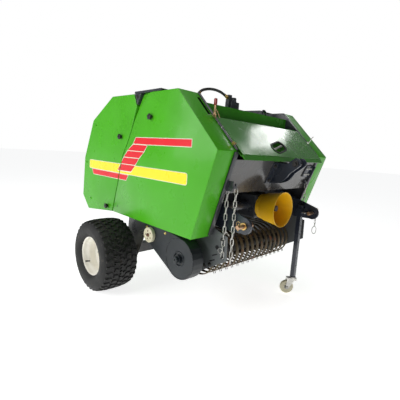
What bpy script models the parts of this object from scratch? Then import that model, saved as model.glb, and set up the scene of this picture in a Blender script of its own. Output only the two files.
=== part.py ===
"""Mini round baler, towed, for a small tractor.  Metres, +Z up.

The drawbar end looks along -Y and the tailgate along +Y.  "right" and "left" are the
driver's, so the right side is at -X.  The origin is on the ground, in the middle of the
machine's length and width.
"""
import math

import bmesh
import bpy
from mathutils import Matrix, Vector

for thing in list(bpy.data.objects):
    bpy.data.objects.remove(thing, do_unlink=True)

# ---------------------------------------------------------------- driving dimensions
GAP = 0.0003            # between pieces that touch
RUN = 0.006             # between a piece that moves and its neighbour

SIDES = {"right": -1, "left": 1}

# body: inner side plates, and the sheet-metal covers outside them
BODY_HALF = 0.4195      # outer face of a side plate
PLATE = 0.004
COVER_DEPTH = 0.1367
SHEET = 0.0025
BEND = 0.004            # outer radius of a folded cover edge
SLOT_DROP = 0.014       # of the slot's cutter, below the slanted edge
SLOT_IN = 0.012         # slot's edges, from the side plate
SLOT_OUT = 0.034
SLOT_FROM = 0.62        # slot's ends, as shares of the slanted edge
SLOT_TO = 0.93
TOP_Z = 1.224
SEAM_GAP = 0.007        # along Y, between front body and tailgate

# side view, (y, z)
FRONT_TOP = (-0.3135, TOP_Z)
NOSE = (-0.6065, 0.936)
FRONT_FOOT = (-0.4685, 0.487)
SEAM = [(0.2915, 0.493), (0.1795, 0.868), (0.1215, 0.961), (0.0865, 1.029), (0.0395, 1.155)]
SEAM_TOP_FRONT = (0.0065, TOP_Z)
SEAM_TOP_REAR = (0.0775, TOP_Z)
REAR = [(0.6395, 0.453), (0.7335, 0.545), (0.7055, 0.824), (0.5805, 1.084), (0.3235, 1.227)]

# bale chamber
CHAMBER = (0.305, 0.830)
BALE_R = 0.25
ROLLER_R = 0.045
ROLLER_CLEAR = 0.005    # bale to roller
ROLLER_WALL = 0.004
ROLLER_SHAFT_R = 0.016
ROLLER_END = 0.006      # end disc to side plate
FRONT_ROLLER_ANGLES = (150, 180, 235)
TAIL_ROLLER_FIRST = 276
TAIL_ROLLER_LAST = 486
TAIL_ROLLER_COUNT = 7

# tailgate hinge
TAIL_HINGE = (0.040, 1.238)
HINGE_PIN_R = 0.008
HINGE_EYE_R = 0.018
HINGE_BAR_FRONT = -0.1765
HINGE_BAR_WIDTH = 0.020
STRAP_REAR = 0.0700     # flat strap over the cover's top edge
STRAP_T = 0.0120

# twine box and hood
WALL_FOOT = (-0.5255, 0.720)
WALL_TOP = (-0.5960, 0.895)
BOX_BACK = -0.200
HOOD_AXIS = (-0.4400, 1.0830)
HOOD_TOP = (-0.4455, 1.0985)
HOOD_EDGE = (-0.6340, 0.9235)
HOOD_LIP = (-0.6480, 0.8980)
HOOD_HALF = BODY_HALF - 0.0105
HOOD_PIN_R = 0.006
SHELF_Z = 1.100         # top of the ledge behind the hood
ROOF_FRONT = -0.3450
ROOF_Z = 1.178
ROOF_REAR = -0.0135
EYE_X = 0.335
EYE_Y = -0.2100

# cross members
BEAM = 0.070
FRONT_BEAM = (-0.3600, 0.640)     # low front corner
TOP_BEAM = (-0.3200, 1.1150)
TOP_BEAM_SIZE = 0.060

# wheels
TRACK_HALF = BODY_HALF + 0.20625
TYRE_R = 0.2285
TYRE_W = 0.2385
RIM_R = 0.1145
RIM_W = 0.180
WHEEL_STEPS = 24        # facets round a wheel
AXLE_Y = 0.2505
AXLE_R = 0.020
AXLE_BEAM = 0.060
AXLE_STAND = 0.015      # beam end, past a side plate

# drive line
PTO_Z = 0.622
GEARBOX_HALF = 0.070
GEARBOX_FRONT = -0.4950
CROSS_Y = -0.4280       # tube from the gearbox to the right side plate
CROSS_R = 0.026
GUARD_BACK = GEARBOX_FRONT - GAP
GUARD_MOUTH = -0.6405
GUARD_R0 = 0.0750
GUARD_R1 = 0.1025
GUARD_WALL = 0.003
PTO_R = 0.0175
PTO_END = -0.5950

# chains, and the bars on the side plates that hold them
HOOK = (-0.5550, 0.7600)
HOOK_SIZE = 0.014
HOOK_REACH = 0.030
HOOK_DEPTH = {"right": 0.047, "left": 0.014}    # the right one also holds the loose chain
CHAIN_W = 0.014
LIFT_CHAIN_FOOT = 0.3900   # height
LOOSE_CHAIN = 0.390
LOOSE_Y = -0.5870

# hitch
TOP_LINK = (-0.7035, 0.890)
TOP_LINK_EYE = 0.030
TOP_LINK_HALF = 0.034             # outer face of a bracket plate
LINK_PLATE = 0.010
LINK_PIN_R = 0.011
HITCH = (-0.6455, 0.572)
HITCH_X = BODY_HALF - 0.0585
HITCH_EYE = 0.042
HITCH_PLATE = 0.012
HITCH_REACH = 0.061     # pin's outer end

# pickup
PICKUP = (-0.3600, 0.3520)
BAND_R = 0.114
BAND_T = 0.003
BAND_BACK = -0.1150
BAND_LIFT = 0.004       # rise of the bands' rear end, where the feed pan starts
BAND_FOOT = -0.2610
TINE_R = 0.140
REEL_R = 0.050
BAND_COUNT = 16
BAND_HALF = BODY_HALF - 0.0305
BAND_W = 0.0240
PICKUP_PLATE_X = BODY_HALF - 0.0155    # outer face of a pickup side plate
PICKUP_HANGER = (-0.1600, 0.5500)
PICKUP_SIDE = [(-0.5770, 0.5050), (-0.5810, 0.3780), (-0.4240, 0.2850), (-0.3300, 0.2250), (-0.2350, 0.2150),
               (-0.1250, 0.3600), (-0.1250, 0.5800), (-0.3000, 0.6200), (-0.4400, 0.5450)]
TINE_BARS = 4

# pickup drive cover
DRIVE_R = 0.113
DRIVE_X = BODY_HALF + 0.1105
DRIVE_DEPTH = 0.075
DRIVE_TOP = 0.4830
DRIVE_REAR = -0.0500
DRIVE_WALL = 0.003
IDLER = (-0.1070, 0.4260)

# parking jack
JACK_X = HITCH_X - 0.031
JACK_Y = -0.5755
JACK_POST = 0.028
JACK_TOP = 0.612
SLEEVE_LOW = 0.540
SLEEVE_HIGH = 0.595
CASTER_R = 0.045
CASTER_W = 0.024
CASTER_TRAIL = 0.036
CASTER_TURN = math.radians(45)
FORK_TOP = 0.112


# ---------------------------------------------------------------- colours
COLOURS = {
    "green_paint": ((0.075, 0.38, 0.018), 0.35, 0.0),
    "dark_paint": ((0.028, 0.032, 0.038), 0.40, 0.0),
    "bare_steel": ((0.42, 0.42, 0.43), 0.35, 1.0),
    "zinc": ((0.62, 0.62, 0.60), 0.40, 1.0),
    "gold_zinc": ((0.62, 0.45, 0.16), 0.35, 1.0),
    "yellow_plastic": ((0.75, 0.46, 0.01), 0.45, 0.0),
    "tyre_rubber": ((0.018, 0.018, 0.018), 0.85, 0.0),
    "cream_paint": ((0.72, 0.68, 0.55), 0.40, 0.0),
    "nylon": ((0.66, 0.62, 0.42), 0.50, 0.0),
    "hose_rubber": ((0.015, 0.015, 0.015), 0.60, 0.0),
    "red_plastic": ((0.60, 0.02, 0.02), 0.40, 0.0),
}
MATERIALS = {}


def material(name):
    if name not in MATERIALS:
        colour, roughness, metallic = COLOURS[name]
        made = bpy.data.materials.new(name)
        made.use_nodes = True
        shader = made.node_tree.nodes["Principled BSDF"]
        shader.inputs["Base Color"].default_value = (*colour, 1.0)
        shader.inputs["Roughness"].default_value = roughness
        shader.inputs["Metallic"].default_value = metallic
        MATERIALS[name] = made
    return MATERIALS[name]


# ---------------------------------------------------------------- making solids
def finish(name, mesh_maker, colour):
    mesh = bpy.data.meshes.new(name)
    mesh_maker.to_mesh(mesh)
    mesh_maker.free()
    piece = bpy.data.objects.new(name, mesh)
    bpy.context.scene.collection.objects.link(piece)
    if colour:
        mesh.materials.append(material(colour))
    return piece


def along(axis, u, v, w):
    """The point (u, v) of a section across the axis, at w along it."""
    if axis == "X":
        return Vector((w, u, v))
    if axis == "Y":
        return Vector((u, w, v))
    return Vector((u, v, w))


def add_prism(maker, outline, axis, low, high):
    corners = [maker.verts.new(along(axis, u, v, low)) for u, v in outline]
    face = maker.faces.new(corners)
    grown = bmesh.ops.extrude_face_region(maker, geom=[face])["geom"]
    moved = [item for item in grown if isinstance(item, bmesh.types.BMVert)]
    bmesh.ops.translate(maker, vec=along(axis, 0, 0, high - low), verts=moved)


def prism(name, outline, axis, low, high, colour=None):
    maker = bmesh.new()
    add_prism(maker, outline, axis, low, high)
    bmesh.ops.recalc_face_normals(maker, faces=maker.faces)
    return finish(name, maker, colour)


def rectangle(u0, v0, u1, v1):
    return [(u0, v0), (u1, v0), (u1, v1), (u0, v1)]


def box(name, low, high, colour=None):
    return prism(name, rectangle(low[0], low[1], high[0], high[1]), "Z", low[2], high[2], colour)


def arc(centre, radius, start, end, count):
    """Points of an arc, from start to end degrees."""
    points = []
    for step in range(count + 1):
        turn = math.radians(start + (end - start) * step / count)
        points.append((centre[0] + radius * math.cos(turn), centre[1] + radius * math.sin(turn)))
    return points


def turned(name, profile, axis, centre, steps, colour=None, start=0.0):
    """A solid turned about the axis through centre.

    The profile's points are (radius, place along the axis), and it is a closed loop.
    start turns the first facet by that many degrees.
    """
    spin_axis = along(axis, 0, 0, 1)
    first = along(axis, 1, 0, 0) if axis != "X" else Vector((0, 1, 0))
    first = Matrix.Rotation(math.radians(start), 3, spin_axis) @ first
    maker = bmesh.new()
    points = []
    for radius, place in profile:
        points.append(maker.verts.new(Vector(centre) + first * radius + spin_axis * place))
    for index, point in enumerate(points):
        following = points[(index + 1) % len(points)]
        on_axis = profile[index][0] == 0 and profile[(index + 1) % len(points)][0] == 0
        if not on_axis:
            maker.edges.new((point, following))
    bmesh.ops.spin(maker, geom=maker.verts[:] + maker.edges[:], cent=centre, axis=spin_axis,
                   angle=2 * math.pi, steps=steps, use_merge=True)
    bmesh.ops.remove_doubles(maker, verts=maker.verts, dist=0.00001)
    bmesh.ops.recalc_face_normals(maker, faces=maker.faces)
    piece = finish(name, maker, colour)
    piece.data.shade_smooth()
    piece.data.set_sharp_from_angle(angle=math.radians(35))
    return piece


def rod(name, axis, centre, radius, low, high, colour=None, steps=16, start=0.0):
    return turned(name, [(0, low), (radius, low), (radius, high), (0, high)], axis, centre, steps,
                  colour, start)


def hide(piece):
    piece.hide_render = True
    piece.display_type = "WIRE"


def combine(piece, operation, others):
    for other in others:
        change = piece.modifiers.new(operation.lower(), "BOOLEAN")
        change.operation = operation
        change.solver = "EXACT"
        change.object = other
        hide(other)
    return piece


def join(piece, *others):
    return combine(piece, "UNION", others)


def cut(piece, *others):
    return combine(piece, "DIFFERENCE", others)


def round_edges(piece, width, segments=2):
    change = piece.modifiers.new("rounded", "BEVEL")
    change.width = width
    change.segments = segments
    change.limit_method = "ANGLE"
    change.angle_limit = math.radians(20)
    return piece


def inset(outline, distance):
    """The outline, which runs anticlockwise, moved inwards by distance."""
    moved = []
    count = len(outline)
    for index in range(count):
        before, here, after = (Vector(outline[(index + k) % count]) for k in (-1, 0, 1))
        come = (here - before).normalized()
        go = (after - here).normalized()
        left_come = Vector((-come.y, come.x))
        left_go = Vector((-go.y, go.x))
        mitre = (left_come + left_go).normalized()
        moved.append(tuple(here + mitre * distance / mitre.dot(left_come)))
    return moved


def strip(points, thickness):
    """A bent sheet's closed outline: the points, and their copy to the left by thickness."""
    other = []
    for index, here in enumerate(points):
        here = Vector(here)
        sides = []
        if index > 0:
            step = (here - Vector(points[index - 1])).normalized()
            sides.append(Vector((-step.y, step.x)))
        if index < len(points) - 1:
            step = (Vector(points[index + 1]) - here).normalized()
            sides.append(Vector((-step.y, step.x)))
        mitre = sum(sides, Vector((0, 0))).normalized()
        other.append(tuple(here + mitre * thickness / mitre.dot(sides[0])))
    return list(points) + other[::-1]


def shift(points, along_y):
    return [(y + along_y, z) for y, z in points]


def span(side, inner, outer):
    """Low and high x of something on one side of the machine."""
    return (inner, outer) if side > 0 else (-outer, -inner)


def pivot(name, place, pieces, parent=None):
    """An empty on a joint's axis, and the pieces that turn or slide with it."""
    empty = bpy.data.objects.new(name, None)
    empty.location = place
    bpy.context.scene.collection.objects.link(empty)
    if parent:
        empty.parent = parent
        empty.matrix_parent_inverse = Matrix.Translation(parent["place"]).inverted()
    empty["place"] = place
    for piece in pieces:
        piece.parent = empty
        piece.matrix_parent_inverse = Matrix.Translation(place).inverted()
    return empty


# ---------------------------------------------------------------- side plates and covers
INNER_HALF = BODY_HALF - PLATE
COVER_OUT = BODY_HALF + COVER_DEPTH
FRONT_OUTLINE = [FRONT_TOP, NOSE, FRONT_FOOT] + SEAM + [SEAM_TOP_FRONT]
TAIL_SEAM = shift(SEAM, SEAM_GAP)[::-1]
TAIL_OUTLINE = [SEAM_TOP_REAR] + TAIL_SEAM + REAR


def tail_plate_outline():
    """The tailgate's side plate, with its hinge eye standing forward over the seam."""
    eye = arc(TAIL_HINGE, HINGE_EYE_R, 60, 270, 7)
    neck = (SEAM_TOP_REAR[0] - 0.012, SEAM_TOP_REAR[1] - 0.026)
    return [(SEAM_TOP_REAR[0] + 0.020, TOP_Z)] + eye + [neck] + TAIL_SEAM + REAR


def slope_point(share):
    """A point of the slanted front top edge, from the nose (0) to the front top (1)."""
    return tuple(Vector(NOSE).lerp(Vector(FRONT_TOP), share))


def cover(name, side, outline, *openings):
    """A folded sheet box, open towards the side plate that carries it."""
    low, high = span(side, BODY_HALF + GAP, COVER_OUT)
    piece = round_edges(prism(name, outline, "X", low, high, "green_paint"), BEND)
    hollow_low, hollow_high = span(side, BODY_HALF - PLATE, COVER_OUT - SHEET)
    hollow = prism(name + "_hollow", inset(outline, SHEET), "X", hollow_low, hollow_high)
    return cut(piece, *openings, hollow)


def front_cover(word, side):
    low, high = span(side, BODY_HALF + SLOT_IN, BODY_HALF + SLOT_OUT)
    slot_ends = [slope_point(SLOT_FROM), slope_point(SLOT_TO)]
    slot = prism("grille_slot_" + word, strip(slot_ends, 0.02), "X", low, high)
    slot.location = (0, 0, -SLOT_DROP)
    cover("front_cover_" + word, side, FRONT_OUTLINE, slot)


def side_plates():
    """The side plates reach down below the covers to the axle beam, which passes through them."""
    half = AXLE_BEAM / 2
    foot = [(0.020, 0.490), (0.080, 0.430), (AXLE_Y - 0.085, TYRE_R + 0.010),
            (AXLE_Y - 0.050, TYRE_R - 0.050), (AXLE_Y + 0.050, TYRE_R - 0.050),
            (AXLE_Y + 0.075, TYRE_R + 0.010), (0.3050, 0.440)]
    outline = [FRONT_TOP, NOSE, FRONT_FOOT] + foot + SEAM + [SEAM_TOP_FRONT]
    for word, side in SIDES.items():
        low, high = span(side, INNER_HALF, BODY_HALF)
        plate = prism("side_plate_" + word, outline, "X", low, high, "dark_paint")
        fit = half + GAP
        hole = box("axle_hole_" + word, (low - 0.01, AXLE_Y - fit, TYRE_R - fit),
                   (high + 0.01, AXLE_Y + fit, TYRE_R + fit))
        cut(plate, hole)
        hook_low, hook_high = span(side, INNER_HALF - HOOK_REACH, INNER_HALF + 0.001)
        half_hook = HOOK_SIZE / 2
        hook_rear = HOOK[0] + half_hook
        hook = box("chain_hook_" + word, (hook_low, hook_rear - HOOK_DEPTH[word], HOOK[1] - half_hook),
                   (hook_high, hook_rear, HOOK[1] + half_hook))
        join(plate, hook)
        front_cover(word, side)


# ---------------------------------------------------------------- twine box, hood and roof
SHEET_HALF = INNER_HALF - GAP


def front_panels():
    box_top = ROOF_Z - SHEET - GAP
    profile = strip([WALL_TOP, WALL_FOOT, (BOX_BACK, WALL_FOOT[1]), (BOX_BACK, box_top)], SHEET)
    prism("twine_box", profile, "X", -SHEET_HALF, SHEET_HALF, "dark_paint")
    deck_front = (HOOD_TOP[0] + 0.018, HOOD_TOP[1] + 0.006)
    deck = [deck_front, (ROOF_FRONT, SHELF_Z), (ROOF_FRONT, ROOF_Z), (ROOF_REAR, ROOF_Z)]
    roof = prism("roof_panel", strip(deck[::-1], SHEET), "X", -SHEET_HALF, SHEET_HALF, "green_paint")
    eye_z = ROOF_Z + 0.030
    eye_foot = [(EYE_X - 0.035, ROOF_Z - 0.001), (EYE_X + 0.035, ROOF_Z - 0.001)]
    eye_outline = arc((EYE_X, eye_z), 0.028, -20, 200, 10) + eye_foot
    join(roof, prism("lifting_eye", eye_outline, "Y", EYE_Y - 0.005, EYE_Y + 0.005))
    hole_z = eye_z + 0.004
    cut(roof, rod("lifting_eye_hole", "Y", (EYE_X, 0, hole_z), 0.014, EYE_Y - 0.02, EYE_Y + 0.02))
    box("top_beam", (-SHEET_HALF, *TOP_BEAM),
        (SHEET_HALF, TOP_BEAM[0] + TOP_BEAM_SIZE, TOP_BEAM[1] + TOP_BEAM_SIZE), "dark_paint")


def hood():
    sheet = prism("hood", strip([HOOD_TOP, HOOD_EDGE, HOOD_LIP], SHEET), "X", -HOOD_HALF, HOOD_HALF,
                  "green_paint")
    for word, side in SIDES.items():
        low, high = span(side, HOOD_HALF - 0.008, HOOD_HALF)
        ear = [(HOOD_TOP[0] - 0.03, HOOD_TOP[1] - 0.0295), (HOOD_AXIS[0] - 0.012, HOOD_AXIS[1] - 0.010),
               (HOOD_AXIS[0] + 0.010, HOOD_AXIS[1] - 0.004), (HOOD_TOP[0] + 0.002, HOOD_TOP[1] - 0.001)]
        lug = prism("hood_ear_" + word, ear, "X", low, high)
        pin_low, pin_high = span(side, HOOD_HALF - 0.006, INNER_HALF - GAP)
        pin = rod("hood_pin_" + word, "X", (0, *HOOD_AXIS), HOOD_PIN_R, pin_low, pin_high)
        join(sheet, lug, pin)
    handle_y, handle_z = HOOD_EDGE[0] + 0.050, HOOD_EDGE[1] + 0.050
    bar = box("hood_handle", (-0.12, handle_y - 0.028, handle_z - 0.030),
              (0.08, handle_y + 0.010, handle_z + 0.008))
    join(sheet, bar)
    return [sheet]


# ---------------------------------------------------------------- frame under the machine
def frame():
    y0, z0 = FRONT_BEAM
    box("front_beam", (-SHEET_HALF, y0, z0), (SHEET_HALF, y0 + BEAM, z0 + BEAM), "dark_paint")
    half = AXLE_BEAM / 2
    reach = BODY_HALF + AXLE_STAND
    beam = box("axle_beam", (-reach, AXLE_Y - half, TYRE_R - half), (reach, AXLE_Y + half, TYRE_R + half),
               "dark_paint")
    hub_end = TRACK_HALF - 0.035
    for word, side in SIDES.items():
        low, high = span(side, BODY_HALF - 0.02, hub_end)
        stub = rod("stub_axle_" + word, "X", (0, AXLE_Y, TYRE_R), AXLE_R, low, high)
        join(beam, stub)


# ---------------------------------------------------------------- wheels
def wheel(word, side):
    centre = (side * TRACK_HALF, AXLE_Y, TYRE_R)
    half = TYRE_W / 2
    bead = RIM_R + 0.004
    profile = [(TYRE_R, -half * 0.62), (TYRE_R, half * 0.62), (TYRE_R - 0.010, half * 0.86),
               (TYRE_R - 0.035, half), (TYRE_R - 0.075, half),
               (bead, RIM_W / 2 - 0.004), (bead, RIM_W / 2 - 0.020),
               (bead + 0.045, half - 0.014), (TYRE_R - 0.035, half - 0.018), (TYRE_R - 0.020, 0),
               (TYRE_R - 0.035, -half + 0.018), (bead + 0.045, -half + 0.014), (bead, -RIM_W / 2 + 0.020),
               (bead, -RIM_W / 2 + 0.004), (TYRE_R - 0.075, -half), (TYRE_R - 0.035, -half),
               (TYRE_R - 0.010, -half * 0.86)]
    tyre = turned("tyre_" + word, profile, "X", centre, WHEEL_STEPS, "tyre_rubber")
    out = RIM_W / 2
    well = RIM_R - 0.016
    hole = AXLE_R + GAP * 2
    seat = bead - GAP
    hub_in, hub_out, hub_r = -0.050, 0.030, 0.034
    disc_in, disc_out = 0.0075, 0.0125
    flange = bead - 0.006
    rim_line = [(seat, out - 0.022), (seat, out - 0.003), (flange, out), (well, out - 0.030),
                (well, disc_out), (hub_r, disc_out), (hub_r, hub_out), (hole, hub_out),
                (hole, hub_in), (hub_r, hub_in), (hub_r, disc_in), (well, disc_in),
                (well, 0.030 - out), (flange, -out), (seat, 0.003 - out),
                (seat, 0.022 - out), (well + 0.003, 0.034 - out), (well + 0.003, out - 0.034)]
    rim_line = [(radius, side * place) for radius, place in rim_line]
    rim = turned("rim_" + word, rim_line, "X", centre, WHEEL_STEPS, "cream_paint")
    pivot("wheel_axis_" + word, centre, [tyre, rim])


# ---------------------------------------------------------------- chamber rollers
def roller(name, angle):
    reach = BALE_R + ROLLER_CLEAR + ROLLER_R
    turn = math.radians(angle)
    centre = (0, CHAMBER[0] + reach * math.cos(turn), CHAMBER[1] + reach * math.sin(turn))
    end = INNER_HALF - ROLLER_END
    tip = INNER_HALF - GAP
    bore = ROLLER_SHAFT_R - 0.005
    inner = ROLLER_R - ROLLER_WALL
    profile = [(bore, -tip), (ROLLER_SHAFT_R, -tip), (ROLLER_SHAFT_R, -end), (ROLLER_R, -end),
               (ROLLER_R, end), (ROLLER_SHAFT_R, end), (ROLLER_SHAFT_R, tip), (0, tip),
               (0, end - ROLLER_WALL),
               (inner, end - ROLLER_WALL), (inner, -end + ROLLER_WALL), (bore, -end + ROLLER_WALL)]
    piece = turned(name, profile, "X", centre, 12, "bare_steel")
    return piece, centre


def front_rollers():
    for number, angle in enumerate(FRONT_ROLLER_ANGLES, 1):
        piece, centre = roller(f"front_roller_{number}", angle)
        pivot(f"front_roller_axis_{number}", centre, [piece])


# ---------------------------------------------------------------- tailgate
def tailgate():
    pieces = []
    for word, side in SIDES.items():
        low, high = span(side, INNER_HALF, BODY_HALF)
        plate = prism("tailgate_plate_" + word, tail_plate_outline(), "X", low, high, "dark_paint")
        hole_r = HINGE_PIN_R + 2 * GAP
        hole = rod("hinge_hole_" + word, "X", (0, *TAIL_HINGE), hole_r, low - 0.01, high + 0.01)
        cut(plate, hole)
        pieces.append(plate)
        pieces.append(cover("tailgate_cover_" + word, side, TAIL_OUTLINE))
    panel_line = inset(TAIL_OUTLINE, 0.001)
    top_front = (SEAM_TOP_REAR[0] + 0.012, panel_line[0][1])
    rear_line = panel_line[-len(REAR):]
    panel = prism("tailgate_panel", strip(rear_line + [top_front], SHEET), "X", -SHEET_HALF, SHEET_HALF,
                  "green_paint")
    pieces.append(panel)
    hinge = pivot("tailgate_hinge", (0, *TAIL_HINGE), pieces)
    step = (TAIL_ROLLER_LAST - TAIL_ROLLER_FIRST) / (TAIL_ROLLER_COUNT - 1)
    for number in range(TAIL_ROLLER_COUNT):
        piece, centre = roller(f"tailgate_roller_{number + 1}", TAIL_ROLLER_FIRST + step * number)
        pivot(f"tailgate_roller_axis_{number + 1}", centre, [piece], hinge)


def hinge_bars():
    foot = TOP_Z + GAP
    for word, side in SIDES.items():
        low, high = span(side, BODY_HALF + GAP, BODY_HALF + GAP + HINGE_BAR_WIDTH)
        eye = arc(TAIL_HINGE, HINGE_EYE_R, 330, 450, 5)
        tongue = [(SEAM_TOP_FRONT[0] + 0.010, foot), (SEAM[-1][0] + 0.004, SEAM[-1][1] + 0.022),
                  (SEAM_TOP_REAR[0] - 0.022, foot)]
        outline = [(HINGE_BAR_FRONT, foot)] + tongue + eye
        shoulder = (HINGE_BAR_FRONT + 0.060, TAIL_HINGE[1] + HINGE_EYE_R - 0.004)
        outline += [shoulder, (HINGE_BAR_FRONT, foot + 0.004)]
        bar = prism("hinge_bar_" + word, outline, "X", low, high, "dark_paint")
        pin_low, pin_high = span(side, INNER_HALF - 0.008, BODY_HALF + GAP + 0.004)
        strap_low, strap_high = span(side, BODY_HALF + GAP, COVER_OUT)
        strap = box("hinge_strap_" + word, (strap_low, HINGE_BAR_FRONT, foot),
                    (strap_high, STRAP_REAR, foot + STRAP_T))
        join(bar, strap)
        join(bar, rod("hinge_pin_" + word, "X", (0, *TAIL_HINGE), HINGE_PIN_R, pin_low, pin_high))


# ---------------------------------------------------------------- drive line
def drive_line():
    back = FRONT_BEAM[0] - GAP
    case = box("gearbox", (-GEARBOX_HALF, GEARBOX_FRONT, PTO_Z - GEARBOX_HALF),
               (GEARBOX_HALF, back, PTO_Z + GEARBOX_HALF), "dark_paint")
    boss = rod("gearbox_boss", "Y", (0, 0, PTO_Z), 0.045, GEARBOX_FRONT - 0.0035, GEARBOX_FRONT + 0.01)
    tube = rod("cross_tube", "X", (0, CROSS_Y, PTO_Z), CROSS_R, -SHEET_HALF, 0)
    join(round_edges(case, 0.008), boss, tube)

    step = GUARD_BACK - 0.036
    outer = [(GUARD_R0, GUARD_BACK), (GUARD_R0 + 0.004, step), (GUARD_R0 + 0.010, step - 0.003),
             (GUARD_R1, GUARD_MOUTH)]
    inner = [(radius - GUARD_WALL, place) for radius, place in outer[::-1]]
    hole = 0.046
    back_plate = [(inner[-1][0], GUARD_BACK - GUARD_WALL), (hole, GUARD_BACK - GUARD_WALL),
                  (hole, GUARD_BACK)]
    turned("pto_guard", outer + inner[:-1] + back_plate, "Y", (0, 0, PTO_Z), 24, "yellow_plastic")

    root = GEARBOX_FRONT - 0.0035 - GAP
    groove = PTO_END + 0.025
    thick, thin = PTO_R + 0.004, PTO_R - 0.003
    line = [(0, root), (thick, root), (thick, root - 0.015), (PTO_R, root - 0.018),
            (PTO_R, groove + 0.006), (thin, groove + 0.004), (thin, groove - 0.004), (PTO_R, groove - 0.006),
            (PTO_R, PTO_END + 0.003), (thin, PTO_END), (0, PTO_END)]
    shaft = turned("pto_shaft", line, "Y", (0, 0, PTO_Z), 18, "bare_steel")
    pivot("pto_axis", (0, GEARBOX_FRONT, PTO_Z), [shaft])


# ---------------------------------------------------------------- hitch
def wall_y(z):
    """Front face of the twine box's front wall."""
    share = (z - WALL_FOOT[1]) / (WALL_TOP[1] - WALL_FOOT[1])
    return WALL_FOOT[0] + (WALL_TOP[0] - WALL_FOOT[0]) * share - GAP * 1.2


def top_link():
    low_z, high_z = WALL_FOOT[1] + 0.047, WALL_TOP[1] - 0.008
    rim = arc((-0.5650, 0.8900), 0.122, 208, 262, 5)
    outline = arc(TOP_LINK, TOP_LINK_EYE, 78, 200, 6) + rim
    outline += [(wall_y(low_z), low_z), (wall_y(high_z), high_z), (-0.655, high_z)]
    plates = []
    for word, side in SIDES.items():
        low, high = span(side, TOP_LINK_HALF - LINK_PLATE, TOP_LINK_HALF)
        plates.append(prism("top_link_plate_" + word, outline, "X", low, high))
    web = [(wall_y(low_z) - 0.008, low_z), (wall_y(low_z), low_z), (wall_y(high_z), high_z),
           (wall_y(high_z) - 0.008, high_z)]
    bracket = prism("top_link_bracket", web, "X", -0.075, 0.075, "dark_paint")
    join(bracket, *plates)
    reach = TOP_LINK_HALF + 0.010
    for plate in plates:
        cut(plate, rod(plate.name + "_hole", "X", (0, *TOP_LINK), LINK_PIN_R + GAP, -0.05, 0.05))
    rod("top_link_pin", "X", (0, *TOP_LINK), LINK_PIN_R, -reach, reach, "gold_zinc")


def hitch_arms():
    back = FRONT_BEAM[0] - GAP
    z0 = FRONT_BEAM[1]
    arms = {}
    for word, side in SIDES.items():
        low, high = span(side, HITCH_X - HITCH_PLATE / 2, HITCH_X + HITCH_PLATE / 2)
        outline = arc(HITCH, HITCH_EYE, 110, 290, 9)
        outline += [(-0.545, 0.528), (back, 0.5450), (back, z0 + BEAM), (-0.470, 0.668)]
        arm = prism("hitch_arm_" + word, outline, "X", low, high, "dark_paint")
        cut(arm, rod("hitch_hole_" + word, "X", (0, *HITCH), LINK_PIN_R + GAP, low - 0.01, high + 0.01))
        if word == "right":
            tube_hole = rod("cross_tube_hole", "X", (0, CROSS_Y, PTO_Z), CROSS_R + 0.003,
                            low - 0.01, high + 0.01)
            cut(arm, tube_hole)
        inner, outer = span(side, HITCH_X - 0.060, HITCH_X + HITCH_REACH)
        face = HITCH_X + HITCH_PLATE / 2
        head_low, head_high = span(side, face + GAP, face + 0.008)
        pin = rod("hitch_pin_" + word, "X", (0, *HITCH), LINK_PIN_R, inner, outer, "gold_zinc")
        join(pin, rod("hitch_pin_head_" + word, "X", (0, *HITCH), 0.019, head_low, head_high))
        arms[word] = arm
    return arms


# ---------------------------------------------------------------- pickup
BAND_PITCH = (2 * BAND_HALF - BAND_W) / (BAND_COUNT - 1)


def stripper_bands():
    """One curved sheet round the reel, slotted between its bands.  Its lower end runs back
    past the tines' sweep to a foot bar."""
    top = PICKUP[1] + BAND_R
    low = PICKUP[1] - BAND_R
    outer = [(BAND_BACK, top + BAND_LIFT)] + arc(PICKUP, BAND_R, 90, 270, 10) + [(BAND_FOOT, low)]
    inner = [(BAND_FOOT, low + BAND_T)] + arc(PICKUP, BAND_R - BAND_T, 270, 90, 10)
    inner.append((BAND_BACK, top + BAND_LIFT - BAND_T))
    sheet = prism("stripper_bands", outer + inner, "X", -BAND_HALF, BAND_HALF, "dark_paint")
    maker = bmesh.new()
    for number in range(BAND_COUNT - 1):
        start = -BAND_HALF + BAND_W + BAND_PITCH * number
        slot = rectangle(PICKUP[0] - BAND_R - 0.02, low - 0.02, BAND_BACK - 0.022, top + 0.03)
        add_prism(maker, slot, "X", start, start + BAND_PITCH - BAND_W)
    bmesh.ops.recalc_face_normals(maker, faces=maker.faces)
    slots = finish("band_slots", maker, None)
    seat = PICKUP_PLATE_X - PLATE - GAP
    rear_bar = box("band_rear_bar", (-seat, BAND_BACK - 0.018, top - 0.040),
                   (seat, BAND_BACK - 0.004, top + 0.0025))
    cut(sheet, slots)
    join(sheet, rear_bar)
    foot_bar = box("band_foot_bar", (-seat, BAND_FOOT - 0.001, low - 0.010),
                   (seat, BAND_FOOT + 0.012, low + 0.002))
    join(sheet, foot_bar)


def feed_pan():
    start = (BAND_BACK + 0.010, PICKUP[1] + BAND_R + BAND_LIFT)
    prism("feed_pan", strip([start, (0.080, 0.545)], SHEET), "X", -SHEET_HALF, SHEET_HALF, "dark_paint")


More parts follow.
